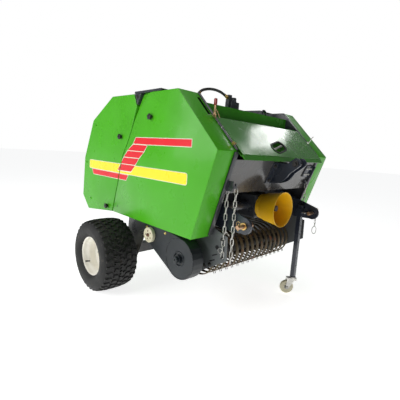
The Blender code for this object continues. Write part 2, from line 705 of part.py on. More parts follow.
def pickup_reel():
    tip = PICKUP_PLATE_X - PLATE - GAP
    end = BAND_HALF - RUN
    core = rod("pickup_reel", "X", (0, *PICKUP), REEL_R, -end, end, "dark_paint", 12)
    shaft = rod("reel_shaft", "X", (0, *PICKUP), 0.014, -tip, tip, None, 12)
    gap_centre = -BAND_HALF + BAND_W + (BAND_PITCH - BAND_W) / 2
    join(core, shaft)
    for bar in range(TINE_BARS):
        outline = [(-end + 0.012, REEL_R - 0.010), (end - 0.012, REEL_R - 0.010)]
        for number in reversed(range(BAND_COUNT - 1)):
            x = gap_centre + BAND_PITCH * number
            outline += [(x + 0.0035, REEL_R + 0.012), (x + 0.0025, TINE_R), (x - 0.0025, TINE_R),
                        (x - 0.0035, REEL_R + 0.012)]
        comb = prism(f"tine_bar_{bar}", outline, "Y", -0.003, 0.003)
        comb.location = (0, *PICKUP)
        comb.rotation_euler = (math.radians(38 + 360 / TINE_BARS * bar), 0, 0)
        join(core, comb)
    pivot("pickup_reel_axis", (0, *PICKUP), [core])


def pickup_sides():
    for word, side in SIDES.items():
        low, high = span(side, PICKUP_PLATE_X - PLATE, PICKUP_PLATE_X)
        plate = prism("pickup_side_" + word, PICKUP_SIDE, "X", low, high, "dark_paint")
        pin_low, pin_high = span(side, PICKUP_PLATE_X - 0.002, INNER_HALF - GAP)
        join(plate, rod("pickup_hanger_" + word, "X", (0, *PICKUP_HANGER), 0.015, pin_low, pin_high))


def drive_cover():
    """The teardrop case on the right, over the chain to the pickup."""
    outline = arc(PICKUP, DRIVE_R, 95, 298, 14)
    rise = math.tan(math.radians(28.5))
    low_point = outline[-1]
    outline.append((DRIVE_REAR, low_point[1] + (DRIVE_REAR - low_point[0]) * rise))
    outline += [(DRIVE_REAR, DRIVE_TOP - 0.015), (DRIVE_REAR - 0.02, DRIVE_TOP), (-0.2400, DRIVE_TOP)]
    face = -DRIVE_X
    back = face + DRIVE_DEPTH
    piece = prism("pickup_drive_cover", outline, "X", face, back, "dark_paint")
    inner = prism("drive_cover_hollow", inset(outline, DRIVE_WALL), "X", face + DRIVE_WALL, back + 0.01)
    round_edges(piece, 0.004)
    cut(piece, inner)
    recess = rod("drive_cover_hole", "X", (0, *PICKUP), 0.036, face - 0.01, face + 0.01, None, 24)
    cut(piece, recess)
    hub_end = -PICKUP_PLATE_X - GAP
    boss = rod("drive_hub", "X", (0, *PICKUP), 0.024, face - 0.012, hub_end, "dark_paint", 24)
    flange_face = face + DRIVE_WALL + GAP
    join(boss, rod("drive_flange", "X", (0, *PICKUP), 0.085, flange_face, face + 0.012, None, 24))
    rod("idler_disc", "X", (0, *IDLER), 0.044, face - 0.022, face - GAP, "nylon", 24)


# ---------------------------------------------------------------- parking jack
def jack(arm):
    half = JACK_POST / 2
    low = (JACK_X - half, JACK_Y - half, FORK_TOP)
    high = (JACK_X + half, JACK_Y + half, JACK_TOP)
    post = box("jack_post", low, high, "dark_paint")
    inside = half + 2 * GAP
    outside = inside + 0.005
    weld = HITCH_X - HITCH_PLATE / 2 + 0.001
    sleeve = box("jack_sleeve", (JACK_X - outside, JACK_Y - outside, SLEEVE_LOW),
                 (weld, JACK_Y + outside, SLEEVE_HIGH))
    bore = box("sleeve_bore", (JACK_X - inside, JACK_Y - inside, SLEEVE_LOW - 0.02),
               (JACK_X + inside, JACK_Y + inside, SLEEVE_HIGH + 0.02))
    join(arm, sleeve)
    cut(arm, bore)

    trail = Vector((-math.sin(CASTER_TURN), math.cos(CASTER_TURN), 0))
    hub = Vector((JACK_X, JACK_Y, CASTER_R)) + trail * CASTER_TRAIL
    turn = Matrix.Translation((JACK_X, JACK_Y, 0)) @ Matrix.Rotation(CASTER_TURN, 4, "Z")
    cheek = CASTER_W / 2 + 0.004
    crown = box("jack_fork", (-cheek - 0.003, -0.024, CASTER_R + 0.050),
                (cheek + 0.003, 0.040, FORK_TOP - GAP), "zinc")
    for word, side in SIDES.items():
        near, far = span(side, cheek, cheek + 0.003)
        leg = [(-0.010, CASTER_R + 0.055), (CASTER_TRAIL - 0.010, CASTER_R - 0.010),
               (CASTER_TRAIL + 0.010, CASTER_R - 0.010), (CASTER_TRAIL + 0.004, CASTER_R + 0.055)]
        join(crown, prism("fork_leg_" + word, leg, "X", near, far))
    axle_half = cheek + 0.005
    join(crown, rod("fork_axle", "X", (0, CASTER_TRAIL, CASTER_R), 0.004, -axle_half, axle_half, None, 12))
    for piece in [crown] + [change.object for change in crown.modifiers]:
        piece.data.transform(turn)
    bore_r, face, chamfer = 0.0046, CASTER_W / 2, 0.004
    line = [(bore_r, -face), (CASTER_R - chamfer, -face), (CASTER_R, -face + chamfer),
            (CASTER_R, face - chamfer), (CASTER_R - chamfer, face), (bore_r, face)]
    tyre = turned("jack_wheel", line, "X", (0, CASTER_TRAIL, CASTER_R), 24, "nylon")
    tyre.data.transform(turn)
    slide = pivot("jack_slide", (JACK_X, JACK_Y, JACK_TOP), [post])
    swivel = pivot("jack_swivel", (JACK_X, JACK_Y, FORK_TOP), [crown], slide)
    pivot("jack_wheel_axis", tuple(hub), [tyre], swivel)


# ---------------------------------------------------------------- small pieces
HOSE_POINTS = [(-0.142, -0.276, 1.2480), (-0.147, -0.276, 1.2480), (-0.168, -0.276, 1.2550),
               (-0.200, -0.277, 1.2650),
               (-0.245, -0.278, 1.2700), (-0.290, -0.279, 1.2680), (-0.330, -0.280, 1.2600),
               (-0.360, -0.281, 1.2490), (-0.381, -0.281, 1.2330), (-0.389, -0.281, 1.2190),
               (-0.389, -0.281, 1.2140)]
HOSE_R = 0.0075
HOSE_STEP = 0.015


def smooth_route(points, step):
    """Points about one step apart on a smooth curve through the given points."""
    given = [Vector(point) for point in points]
    given = [2 * given[0] - given[1]] + given + [2 * given[-1] - given[-2]]
    route = [given[1]]
    for index in range(1, len(given) - 2):
        p0, p1, p2, p3 = given[index - 1:index + 3]
        count = max(1, round((p2 - p1).length / step))
        for number in range(1, count + 1):
            t = number / count
            route.append(0.5 * (2 * p1 + (p2 - p0) * t + (2 * p0 - 5 * p1 + 4 * p2 - p3) * t * t
                                + (3 * p1 - p0 - 3 * p2 + p3) * t * t * t))
    return route


def hose():
    curve = bpy.data.curves.new("hydraulic_hose", "CURVE")
    curve.dimensions = "3D"
    curve.bevel_depth = HOSE_R
    curve.bevel_resolution = 2
    curve.use_fill_caps = True
    curve.materials.append(material("hose_rubber"))
    route = smooth_route(HOSE_POINTS, HOSE_STEP)
    line = curve.splines.new("POLY")
    line.points.add(len(route) - 1)
    for point, place in zip(line.points, route):
        point.co = (*place, 1.0)
    piece = bpy.data.objects.new("hydraulic_hose", curve)
    bpy.context.scene.collection.objects.link(piece)


def small_pieces():
    roof = ROOF_Z + GAP
    start = HOSE_POINTS[0]
    block = box("valve_block", (start[0] + 0.014, start[1] - 0.026, roof),
                (start[0] + 0.082, start[1] + 0.026, roof + 0.046), "dark_paint")
    join(block, box("valve_neck", (start[0] + GAP, start[1] - 0.0125, roof + 0.004),
                    (start[0] + 0.027, start[1] + 0.0125, start[2] + 0.014)))
    end = HOSE_POINTS[-1]
    box("hose_union", (end[0] - 0.012, end[1] - 0.012, roof),
        (end[0] + 0.012, end[1] + 0.012, end[2] - GAP), "gold_zinc")


def shutoff_lever():
    """A flat lever on the right cover's slanted edge."""
    slope = slope_point(0.52)
    x = BODY_HALF + 0.010
    along_edge = (Vector(FRONT_TOP) - Vector(NOSE)).normalized()
    lift = Vector((-along_edge.y, along_edge.x)) * GAP * 1.5
    front = Vector(slope) - along_edge * 0.016 + lift
    rear = Vector(slope) + along_edge * 0.016 + lift
    tip_z = slope[1] + 0.100
    outline = [tuple(front), tuple(rear), (slope[0] + 0.008, tip_z), (slope[0] - 0.008, tip_z)]
    prism("shutoff_lever", outline, "X", -x - 0.003, -x + 0.003, "red_plastic")


def chains():
    """Each chain is one plain square bar of its links' width."""
    half = CHAIN_W / 2
    top = HOOK[1] - HOOK_SIZE / 2 - GAP
    for word, side in SIDES.items():
        low, high = span(side, PICKUP_PLATE_X + GAP, INNER_HALF - GAP)
        box("lift_chain_" + word, (low, HOOK[0] - half, LIFT_CHAIN_FOOT),
            (high, HOOK[0] + half, top), "zinc")
    near = -(INNER_HALF - HOOK_REACH)
    box("loose_chain", (near, LOOSE_Y - half, top - LOOSE_CHAIN),
        (near + CHAIN_W, LOOSE_Y + half, top), "zinc")


side_plates()
front_panels()
hood_pieces = hood()
pivot("hood_hinge", (0, *HOOD_AXIS), hood_pieces)
frame()
for side_word, side_sign in SIDES.items():
    wheel(side_word, side_sign)
front_rollers()
tailgate()
hinge_bars()
drive_line()
top_link()
arms = hitch_arms()
stripper_bands()
feed_pan()
pickup_reel()
pickup_sides()
drive_cover()
jack(arms["left"])
hose()
small_pieces()
shutoff_lever()
chains()
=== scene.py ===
import math

import bmesh
import bpy
from mathutils import Matrix, Vector


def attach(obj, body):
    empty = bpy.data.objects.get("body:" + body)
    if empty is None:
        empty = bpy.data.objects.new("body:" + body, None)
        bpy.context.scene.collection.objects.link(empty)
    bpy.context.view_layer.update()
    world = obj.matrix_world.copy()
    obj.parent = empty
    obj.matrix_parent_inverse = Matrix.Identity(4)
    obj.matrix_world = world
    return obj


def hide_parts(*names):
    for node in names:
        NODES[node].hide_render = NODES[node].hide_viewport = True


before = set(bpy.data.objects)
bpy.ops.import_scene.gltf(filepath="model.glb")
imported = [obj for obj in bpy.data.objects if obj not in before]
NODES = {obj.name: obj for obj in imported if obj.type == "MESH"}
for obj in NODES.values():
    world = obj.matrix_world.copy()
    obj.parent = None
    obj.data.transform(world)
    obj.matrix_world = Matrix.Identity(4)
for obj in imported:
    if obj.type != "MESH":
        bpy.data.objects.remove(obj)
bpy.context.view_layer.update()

SIDES = {"right": -1, "left": 1}
X, Y, Z = Vector((1, 0, 0)), Vector((0, 1, 0)), Vector((0, 0, 1))

# ---------------------------------------------------------------- places shared with the solids
COVER_X = 0.5562
FRONT_TOP = (-0.3135, 1.224)
NOSE = (-0.6065, 0.936)
FRONT_FOOT = (-0.4685, 0.487)
SEAM = [(0.2915, 0.493), (0.1795, 0.868), (0.1215, 0.961), (0.0865, 1.029), (0.0395, 1.155)]
SEAM_GAP = 0.007
REAR = [(0.6395, 0.453), (0.7335, 0.545), (0.7055, 0.824), (0.5805, 1.084), (0.3235, 1.227)]
HOOD_TOP = (-0.4455, 1.0985)
HOOD_EDGE = (-0.6340, 0.9235)
HOOD_LIP = (-0.6480, 0.8980)
HOOD_AXIS = (-0.4400, 1.0830)
HOOD_HALF = 0.409
PICKUP = (-0.3600, 0.3520)
IDLER = (-0.1070, 0.4260)
WHEEL_X, AXLE_Y, TYRE_R = 0.62575, 0.2505, 0.2285
PTO_Z = 0.622
HITCH = (-0.6455, 0.572)
TOP_LINK = (-0.7035, 0.890)
JACK = Vector((0.330, -0.5755, 0.112))
CASTER_TURN = math.radians(45)


# ---------------------------------------------------------------- camera, floor and lights
EYE = (-1.6041, -1.5607, 0.9275)
EYE_TURN, EYE_TIP, EYE_LEAN = math.radians(-45.105), math.radians(8.898), math.radians(3.782)
LENS = 28.47            # mm, on a sensor 36 mm wide


def camera():
    """The eye that sees the right front corner from a little above the axle."""
    turn, tip, lean = EYE_TURN, EYE_TIP, EYE_LEAN
    back = Vector((math.sin(turn) * math.cos(tip), -math.cos(turn) * math.cos(tip), math.sin(tip)))
    level = (-back).cross(Z).normalized()
    top = level.cross(-back)
    right = math.cos(lean) * level + math.sin(lean) * top
    upward = math.cos(lean) * top - math.sin(lean) * level
    made = bpy.data.objects.new("camera", bpy.data.cameras.new("camera"))
    made.data.lens = LENS
    made.data.sensor_width = 36
    made.matrix_world = Matrix.Translation(EYE) @ Matrix((right, upward, back)).transposed().to_4x4()
    bpy.context.scene.collection.objects.link(made)
    bpy.context.scene.camera = made


def light(name, place, aim, size, power, colour=(1, 1, 1)):
    lamp = bpy.data.lights.new(name, "AREA")
    lamp.shape = "RECTANGLE"
    lamp.size, lamp.size_y = size
    lamp.energy = power
    lamp.color = colour
    made = bpy.data.objects.new(name, lamp)
    made.location = place
    made.rotation_euler = (Vector(aim) - Vector(place)).to_track_quat("-Z", "Y").to_euler()
    bpy.context.scene.collection.objects.link(made)


def studio():
    maker = bmesh.new()
    bmesh.ops.create_grid(maker, x_segments=1, y_segments=1, size=30)
    mesh = bpy.data.meshes.new("floor")
    maker.to_mesh(mesh)
    maker.free()
    floor = bpy.data.objects.new("floor", mesh)
    bpy.context.scene.collection.objects.link(floor)
    paper = bpy.data.materials.new("pale_floor")
    paper.use_nodes = True
    shader = paper.node_tree.nodes["Principled BSDF"]
    shader.inputs["Base Color"].default_value = (0.93, 0.93, 0.93, 1)
    shader.inputs["Roughness"].default_value = 0.95
    shader.inputs["Specular IOR Level"].default_value = 0.1
    shader.inputs["Emission Color"].default_value = (1, 1, 1, 1)
    shader.inputs["Emission Strength"].default_value = 0.80
    mesh.materials.append(paper)
    sky = bpy.data.worlds.new("studio")
    sky.use_nodes = True
    tree = sky.node_tree
    dim = tree.nodes["Background"]
    dim.inputs["Color"].default_value = (0.95, 0.98, 1.0, 1)
    towards = tree.nodes.new("ShaderNodeTexCoord")
    split = tree.nodes.new("ShaderNodeSeparateXYZ")
    fall = tree.nodes.new("ShaderNodeMapRange")
    for key, value in {"From Min": -0.55, "From Max": 0.35, "To Min": 0.03, "To Max": 0.25}.items():
        fall.inputs[key].default_value = value
    tree.links.new(towards.outputs["Generated"], split.inputs[0])
    tree.links.new(split.outputs["Y"], fall.inputs["Value"])
    tree.links.new(fall.outputs["Result"], dim.inputs["Strength"])
    white = tree.nodes.new("ShaderNodeBackground")
    white.inputs["Color"].default_value = (1, 1, 1, 1)
    white.inputs["Strength"].default_value = 1.0
    seen = tree.nodes.new("ShaderNodeLightPath")
    chosen = tree.nodes.new("ShaderNodeMixShader")
    tree.links.new(seen.outputs["Is Camera Ray"], chosen.inputs[0])
    tree.links.new(dim.outputs[0], chosen.inputs[1])
    tree.links.new(white.outputs[0], chosen.inputs[2])
    tree.links.new(chosen.outputs[0], tree.nodes["World Output"].inputs["Surface"])
    bpy.context.scene.world = sky
    bpy.context.scene.view_settings.view_transform = "Standard"
    light("window", (-4.2, 0.9, 2.2), (0, 0, 0.7), (3.0, 2.4), 98)
    light("overhead", (-0.3, -0.4, 4.2), (0, 0, 0.8), (2.4, 2.4), 30)
    light("hood_glow", (2.44, -0.23, 2.68), (-0.05, -0.52, 1.03), (0.30, 0.50), 3.4)


# ---------------------------------------------------------------- finishes
def add(tree, kind, values=None, **settings):
    made = tree.nodes.new(kind)
    for key, value in settings.items():
        setattr(made, key, value)
    for key, value in (values or {}).items():
        if isinstance(value, bpy.types.NodeSocket):
            tree.links.new(value, made.inputs[key])
        else:
            made.inputs[key].default_value = value
    return made


def noise(tree, where, scale, detail=3.0, rough=0.55):
    made = add(tree, "ShaderNodeTexNoise",
               {"Vector": where, "Scale": scale, "Detail": detail, "Roughness": rough})
    return made.outputs["Fac"]


def band(tree, value, low, high, to_low=0.0, to_high=1.0):
    keys = {"Value": value, "From Min": low, "From Max": high, "To Min": to_low, "To Max": to_high}
    return add(tree, "ShaderNodeMapRange", keys).outputs["Result"]


def times(tree, one, other):
    return add(tree, "ShaderNodeMath", {0: one, 1: other}, operation="MULTIPLY").outputs[0]


def blend_colour(tree, share, one, other):
    return add(tree, "ShaderNodeMix", {0: share, 6: one, 7: other}, data_type="RGBA").outputs[2]


def shade(colour, by):
    return (*[min(1.0, c * by) for c in colour], 1.0)


def finish(name, colour, rough=0.4, metal=0.0, coat=0.0, mottle=0.08, mottle_scale=3.0, grain=0.15,
           grain_scale=260.0,
           ripple=0.0, wear=None, wear_width=0.0016, wear_amount=0.7, dirt=None, dirt_top=0.6,
           dirt_amount=0.5,
           specks=None, speck_scale=22.0, speck_level=0.62, rough_swing=0.1, specular=0.5):
    """A finish for one material: a mottled colour, a fine grain, slow ripples, rubbed edges, dust that thins
    upwards and specks of another colour."""
    made = bpy.data.materials.new(name)
    made.use_nodes = True
    tree = made.node_tree
    shader = tree.nodes["Principled BSDF"]
    where = add(tree, "ShaderNodeTexCoord").outputs["Object"]
    slow = noise(tree, where, mottle_scale, 5.0)
    tone = blend_colour(tree, band(tree, slow, 0.3, 0.7), shade(colour, 1 - mottle),
                        shade(colour, 1 + mottle))
    rough_now = band(tree, noise(tree, where, mottle_scale * 3.1, 4.0), 0.3, 0.7, rough - rough_swing,
                     rough + rough_swing)
    if specks:
        spots = band(tree, noise(tree, where, speck_scale, 6.0, 0.7), speck_level, speck_level + 0.08)
        tone = blend_colour(tree, spots, tone, (*specks, 1))
    if dirt:
        height = add(tree, "ShaderNodeSeparateXYZ", {0: where}).outputs["Z"]
        low_down = band(tree, height, 0.0, dirt_top, 1.0, 0.0)
        patches = band(tree, noise(tree, where, 9.0, 6.0, 0.65), 0.42, 0.68)
        dust = times(tree, times(tree, low_down, patches), dirt_amount)
        tone = blend_colour(tree, dust, tone, (*dirt, 1))
        rough_now = add(tree, "ShaderNodeMix", {0: dust, 2: rough_now, 3: 0.85}).outputs[0]
    soft_edge = add(tree, "ShaderNodeBevel", {"Radius": wear_width}, samples=4)
    if wear:
        flat = add(tree, "ShaderNodeNewGeometry").outputs["Normal"]
        keys = {0: soft_edge.outputs[0], 1: flat}
        alike = add(tree, "ShaderNodeVectorMath", keys, operation="DOT_PRODUCT").outputs["Value"]
        edge = band(tree, alike, 0.985, 0.86)
        rubbed = times(tree, edge,
                       band(tree, noise(tree, where, 35.0, 5.0, 0.7), 0.45, 0.62, 0.0, wear_amount))
        tone = blend_colour(tree, rubbed, tone, (*wear, 1))
    normal = soft_edge.outputs[0]
    if ripple:
        keys = {"Height": noise(tree, where, 2.3, 2.0), "Distance": ripple, "Strength": 1.0, "Normal": normal}
        normal = add(tree, "ShaderNodeBump", keys).outputs[0]
    keys = {"Height": noise(tree, where, grain_scale, 3.0), "Distance": 0.0004, "Strength": grain,
            "Normal": normal}
    normal = add(tree, "ShaderNodeBump", keys).outputs[0]
    tree.links.new(tone, shader.inputs["Base Color"])
    tree.links.new(rough_now, shader.inputs["Roughness"])
    tree.links.new(normal, shader.inputs["Normal"])
    shader.inputs["Metallic"].default_value = metal
    shader.inputs["Coat Weight"].default_value = coat
    shader.inputs["Coat Roughness"].default_value = 0.08
    shader.inputs["Specular IOR Level"].default_value = specular
    return made


DUST = (0.30, 0.25, 0.17)
RUST = (0.19, 0.065, 0.022)
FINISHES = {
    "green_enamel": finish("green_enamel", (0.068, 0.410, 0.010), 0.32, coat=0.10, mottle=0.06, ripple=0.010,
                           wear=(0.30, 0.40, 0.20), wear_amount=0.5, dirt=DUST, dirt_top=0.75,
                           dirt_amount=0.06,
                           specular=0.28),
    # hood, roof and handle cup: the covers' green paint made darker, as painted shade for the slopes that
    # face away from the lamps, under a glossier coat
    "green_with_painted_shade": finish("green_with_painted_shade", (0.046, 0.265, 0.016), 0.22, coat=0.35, mottle=0.06, ripple=0.012,
                          wear=(0.30, 0.40, 0.20), wear_amount=0.5, dirt=DUST, dirt_top=1.1,
                          dirt_amount=0.08),
    "charcoal_enamel": finish("charcoal_enamel", (0.030, 0.034, 0.041), 0.30, coat=0.25, mottle=0.12,
                              ripple=0.008,
                              wear=(0.25, 0.25, 0.25), wear_amount=0.6, dirt=DUST, dirt_top=0.8,
                              dirt_amount=0.30),
    "twine_box_enamel": finish("twine_box_enamel", (0.052, 0.051, 0.053), 0.22, coat=0.5, mottle=0.10,
                               ripple=0.020,
                               dirt=DUST, dirt_top=1.2, dirt_amount=0.3),
    "bracket_enamel": finish("bracket_enamel", (0.020, 0.026, 0.040), 0.26, coat=0.3, mottle=0.12,
                             wear=(0.35, 0.35, 0.36), wear_amount=0.7),
    "worn_band": finish("worn_band", (0.105, 0.080, 0.042), 0.50, metal=0.35, mottle=0.35, mottle_scale=9.0,
                        wear=(0.34, 0.29, 0.20), wear_width=0.002, specks=RUST, speck_level=0.55, grain=0.4),
    "worn_steel": finish("worn_steel", (0.40, 0.40, 0.40), 0.34, metal=0.95, mottle=0.18, mottle_scale=8.0,
                         specks=(0.16, 0.10, 0.06), speck_level=0.66, grain=0.25),
    "dark_steel": finish("dark_steel", (0.055, 0.052, 0.050), 0.42, metal=0.7, mottle=0.25, mottle_scale=14.0,
                         specks=RUST, speck_level=0.64, grain=0.3),
    "edge_steel": finish("edge_steel", (0.13, 0.135, 0.14), 0.30, metal=0.5, mottle=0.3, mottle_scale=16.0,
                         wear=(0.42, 0.42, 0.43), wear_width=0.0025, wear_amount=0.9),
    "bronze_zinc": finish("bronze_zinc", (0.52, 0.33, 0.20), 0.32, metal=0.85, mottle=0.25, mottle_scale=45.0,
                          specks=(0.62, 0.36, 0.30), speck_level=0.58),
    "grey_plastic": finish("grey_plastic", (0.16, 0.165, 0.17), 0.42, mottle=0.1, mottle_scale=30.0,
                           grain=0.3),
    "reflector_red": finish("reflector_red", (0.50, 0.010, 0.008), 0.12, coat=0.8, mottle=0.1,
                            mottle_scale=60.0,
                            grain=0.9, grain_scale=420.0),
    "tine_steel": finish("tine_steel", (0.085, 0.065, 0.048), 0.40, metal=0.7, mottle=0.3, mottle_scale=30.0,
                         specks=RUST, speck_level=0.58, grain=0.3),
    "rusty_steel": finish("rusty_steel", (0.17, 0.085, 0.055), 0.50, metal=0.4, mottle=0.4, mottle_scale=60.0,
                          specks=RUST, speck_level=0.50, grain=0.4),
    "drive_enamel": finish("drive_enamel", (0.016, 0.021, 0.025), 0.38, coat=0.05, specular=0.35,
                           mottle=0.12, ripple=0.004,
                           wear=(0.26, 0.27, 0.28), wear_amount=0.6, dirt=DUST, dirt_top=0.6,
                           dirt_amount=0.05),
    # pickup side plates: the drive case's dark paint made lighter, as painted light against the shadow that
    # the covers cast on them
    "plate_with_painted_light": finish("plate_with_painted_light", (0.095, 0.103, 0.106), 0.38, coat=0.15, mottle=0.14, ripple=0.004,
                           wear=(0.26, 0.27, 0.28), wear_amount=0.6, dirt=DUST, dirt_top=0.7,
                           dirt_amount=0.10),
    "zinc_plate": finish("zinc_plate", (0.58, 0.57, 0.53), 0.33, metal=0.9, mottle=0.22, mottle_scale=30.0,
                         grain=0.2, specks=(0.30, 0.26, 0.20), speck_level=0.66),
    "yellow_zinc": finish("yellow_zinc", (0.66, 0.44, 0.16), 0.30, metal=0.9, mottle=0.2, mottle_scale=40.0,
                          specks=(0.70, 0.40, 0.30), speck_level=0.60),
    "brass": finish("brass", (0.72, 0.55, 0.20), 0.28, metal=0.95, mottle=0.15, mottle_scale=40.0),
    "guard_plastic": finish("guard_plastic", (0.86, 0.48, 0.004), 0.36, mottle=0.07, mottle_scale=7.0,
                            grain=0.25,
                            wear=(0.85, 0.62, 0.12), dirt=DUST, dirt_top=1.3, dirt_amount=0.12),
    "black_plastic": finish("black_plastic", (0.014, 0.014, 0.015), 0.38, mottle=0.2, grain=0.5,
                            grain_scale=700.0),
    "red_plastic": finish("red_plastic", (0.24, 0.012, 0.012), 0.34, mottle=0.15, mottle_scale=30.0,
                          grain=0.3),
    "tyre_rubber": finish("tyre_rubber", (0.021, 0.021, 0.021), 0.66, mottle=0.25, mottle_scale=6.0,
                          grain=0.5,
                          grain_scale=420.0, wear=(0.075, 0.072, 0.066), wear_width=0.002, wear_amount=0.9,
                          specks=(0.060, 0.054, 0.044), speck_level=0.60, specular=0.35),
    "cream_enamel": finish("cream_enamel", (0.90, 0.87, 0.78), 0.26, coat=0.3, mottle=0.04, dirt=DUST,
                           dirt_top=0.45, dirt_amount=0.12, wear=(0.45, 0.38, 0.28), wear_amount=0.4),
    "nylon": finish("nylon", (0.66, 0.62, 0.44), 0.46, mottle=0.08, mottle_scale=14.0, grain=0.25,
                    specks=(0.45, 0.38, 0.24), speck_level=0.64),
    "hose_rubber": finish("hose_rubber", (0.017, 0.017, 0.018), 0.48, mottle=0.2, grain=0.6,
                          grain_scale=900.0),
    "red_vinyl": finish("red_vinyl", (0.78, 0.004, 0.016), 0.36, coat=0.1, mottle=0.04, grain=0.1),
    "yellow_vinyl": finish("yellow_vinyl", (0.93, 0.80, 0.008), 0.30, coat=0.2, mottle=0.03, grain=0.1),
    "white_vinyl": finish("white_vinyl", (0.80, 0.78, 0.62), 0.35, mottle=0.03, grain=0.1),
}
CAD_FINISH = {
    "green_enamel": ["front_cover_", "tailgate_cover_", "tailgate_panel"],
    # the hood and roof get the green darkened as painted shade
    "green_with_painted_shade": ["roof_panel", "hood"],
    "twine_box_enamel": ["twine_box"],
    "bracket_enamel": ["top_link_bracket", "hitch_arm_", "jack_post"],
    "drive_enamel": ["pickup_drive_cover", "drive_hub"],
    # the pickup side plates get a lightened dark enamel as painted light
    "plate_with_painted_light": ["pickup_side_"],
    "worn_band": ["stripper_bands"],
    "worn_steel": ["front_roller_", "tailgate_roller_", "pto_shaft"],
    "zinc_plate": ["lift_chain_", "loose_chain", "jack_fork"],
    "yellow_zinc": ["hitch_pin_", "top_link_pin", "hose_union"],
    "guard_plastic": ["pto_guard"],
    "tyre_rubber": ["tyre_"],
    "cream_enamel": ["rim_"],
    "nylon": ["jack_wheel", "idler_disc"],
    "hose_rubber": ["hydraulic_hose"],
    "red_plastic": ["shutoff_lever"],
}


def dress_solids():
    for name, thing in NODES.items():
        chosen = "charcoal_enamel"
        for word, starts in CAD_FINISH.items():
            if any(name.startswith(start) for start in starts):
                chosen = word
        thing.data.materials.clear()
        thing.data.materials.append(FINISHES[chosen])


# ---------------------------------------------------------------- making shapes
def piece(name, maker, look, body="root", replaces=(), sharp=35):
    bmesh.ops.remove_doubles(maker, verts=maker.verts, dist=0.000005)
    bmesh.ops.delete(maker, geom=[edge for edge in maker.edges if not edge.link_faces], context="EDGES")
    bmesh.ops.recalc_face_normals(maker, faces=maker.faces)
    mesh = bpy.data.meshes.new(name)
    maker.to_mesh(mesh)
    maker.free()
    mesh.polygons.foreach_set("use_smooth", [True] * len(mesh.polygons))
    mesh.set_sharp_from_angle(angle=math.radians(sharp))
    made = bpy.data.objects.new(name, mesh)
    bpy.context.scene.collection.objects.link(made)
    mesh.materials.append(FINISHES[look])
    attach(made, body)
    if replaces:
        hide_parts(*replaces)
    return made


def facing(place, way, turn=0.0):
    """A matrix that stands a shape's own Z along a direction at a place."""
    stand = Vector(way).to_track_quat("Z", "Y").to_matrix().to_4x4()
    return Matrix.Translation(place) @ stand @ Matrix.Rotation(turn, 4, "Z")


def to_3d(axis, place, across):
    """A point of a side view (y, z), or of a view along Y (x, z) or Z (x, y), at a place along the axis."""
    u, v = across
    return Vector({"X": (place, u, v), "Y": (u, place, v), "Z": (u, v, place)}[axis])


def slab(maker, outline, axis, low, high, edge=0.0, segments=2):
    """An outline thickened along an axis, its edges rounded."""
    verts = [maker.verts.new(to_3d(axis, low, point)) for point in outline]
    face = bmesh.ops.contextual_create(maker, geom=verts)["faces"]
    grown = bmesh.ops.extrude_face_region(maker, geom=face)["geom"]
    moved = [g for g in grown if isinstance(g, bmesh.types.BMVert)]
    bmesh.ops.translate(maker, verts=moved, vec=to_3d(axis, high - low, (0, 0)))
    if edge:
        own = set(verts) | set(moved)
        edges = [e for e in maker.edges if e.verts[0] in own and e.verts[1] in own]
        bmesh.ops.bevel(maker, geom=edges, offset=edge, segments=segments, profile=0.5, material=-1,
                        affect="EDGES")
    return maker


def block(maker, low, high, edge=0.001):
    size = Vector(high) - Vector(low)
    middle = (Vector(high) + Vector(low)) / 2
    made = bmesh.ops.create_cube(maker, size=1,
                                 matrix=Matrix.Translation(middle) @ Matrix.Diagonal((*size, 1)))
    edges = list({e for v in made["verts"] for e in v.link_edges})
    bmesh.ops.bevel(maker, geom=edges, offset=edge, segments=2, profile=0.5, material=-1, affect="EDGES")


def turned(maker, profile, axis, centre, steps=48, closed=False):
    """A profile of (radius, place along the axis) spun round."""
    way = {"X": X, "Y": Y, "Z": Z}[axis]
    side = Z if axis != "Z" else X
    verts = [maker.verts.new(Vector(centre) + side * radius + way * place) for radius, place in profile]
    pairs = list(zip(verts, verts[1:])) + ([(verts[-1], verts[0])] if closed else [])
    edges = [maker.edges.new(pair) for pair in pairs]
    bmesh.ops.spin(maker, geom=verts + edges, cent=centre, axis=way, angle=2 * math.pi, steps=steps,
                   use_merge=True)
    bmesh.ops.remove_doubles(maker, verts=maker.verts, dist=0.000005)


def sweep(maker, route, radius, sides=8, closed=False, start_side=None):
    """A round bar along a route: a ring at each point, bridged to the next."""
    route = [Vector(p) for p in route]
    count = len(route)
    rings = []
    side = start_side
    for index, place in enumerate(route):
        before = route[index - 1] if index or closed else place
        after = route[(index + 1) % count] if index < count - 1 or closed else place
        way = (after - before).normalized()
        side = way.orthogonal().normalized() if side is None else (side - way * side.dot(way)).normalized()
        at = Matrix((side, way.cross(side), way)).transposed().to_4x4()
        at.translation = place
        made = bmesh.ops.create_circle(maker, segments=sides, radius=radius, matrix=at)["verts"]
        rings.append(made)
    pairs = list(zip(rings, rings[1:])) + ([(rings[-1], rings[0])] if closed else [])
    for one, other in pairs:
        for index in range(sides):
            nxt = (index + 1) % sides
            maker.faces.new((one[index], one[nxt], other[nxt], other[index]))
    if not closed:
        for ring in (rings[0], rings[-1]):
            bmesh.ops.contextual_create(maker, geom=ring)
    return maker


def angles(half_count):
    """Evenly spaced angles of a full turn, twice as many as the count."""
    return [i * math.pi / half_count for i in range(2 * half_count)]


def stamp(maker, mesh, places):
    """Copies of a small mesh at each of the given matrices."""
    for place in places:
        one = mesh.copy()
        one.transform(place)
        maker.from_mesh(one)
        bpy.data.meshes.remove(one)


def pattern(name, maker):
    bmesh.ops.recalc_face_normals(maker, faces=maker.faces)
    mesh = bpy.data.meshes.new(name)
    maker.to_mesh(mesh)
    maker.free()
    return mesh


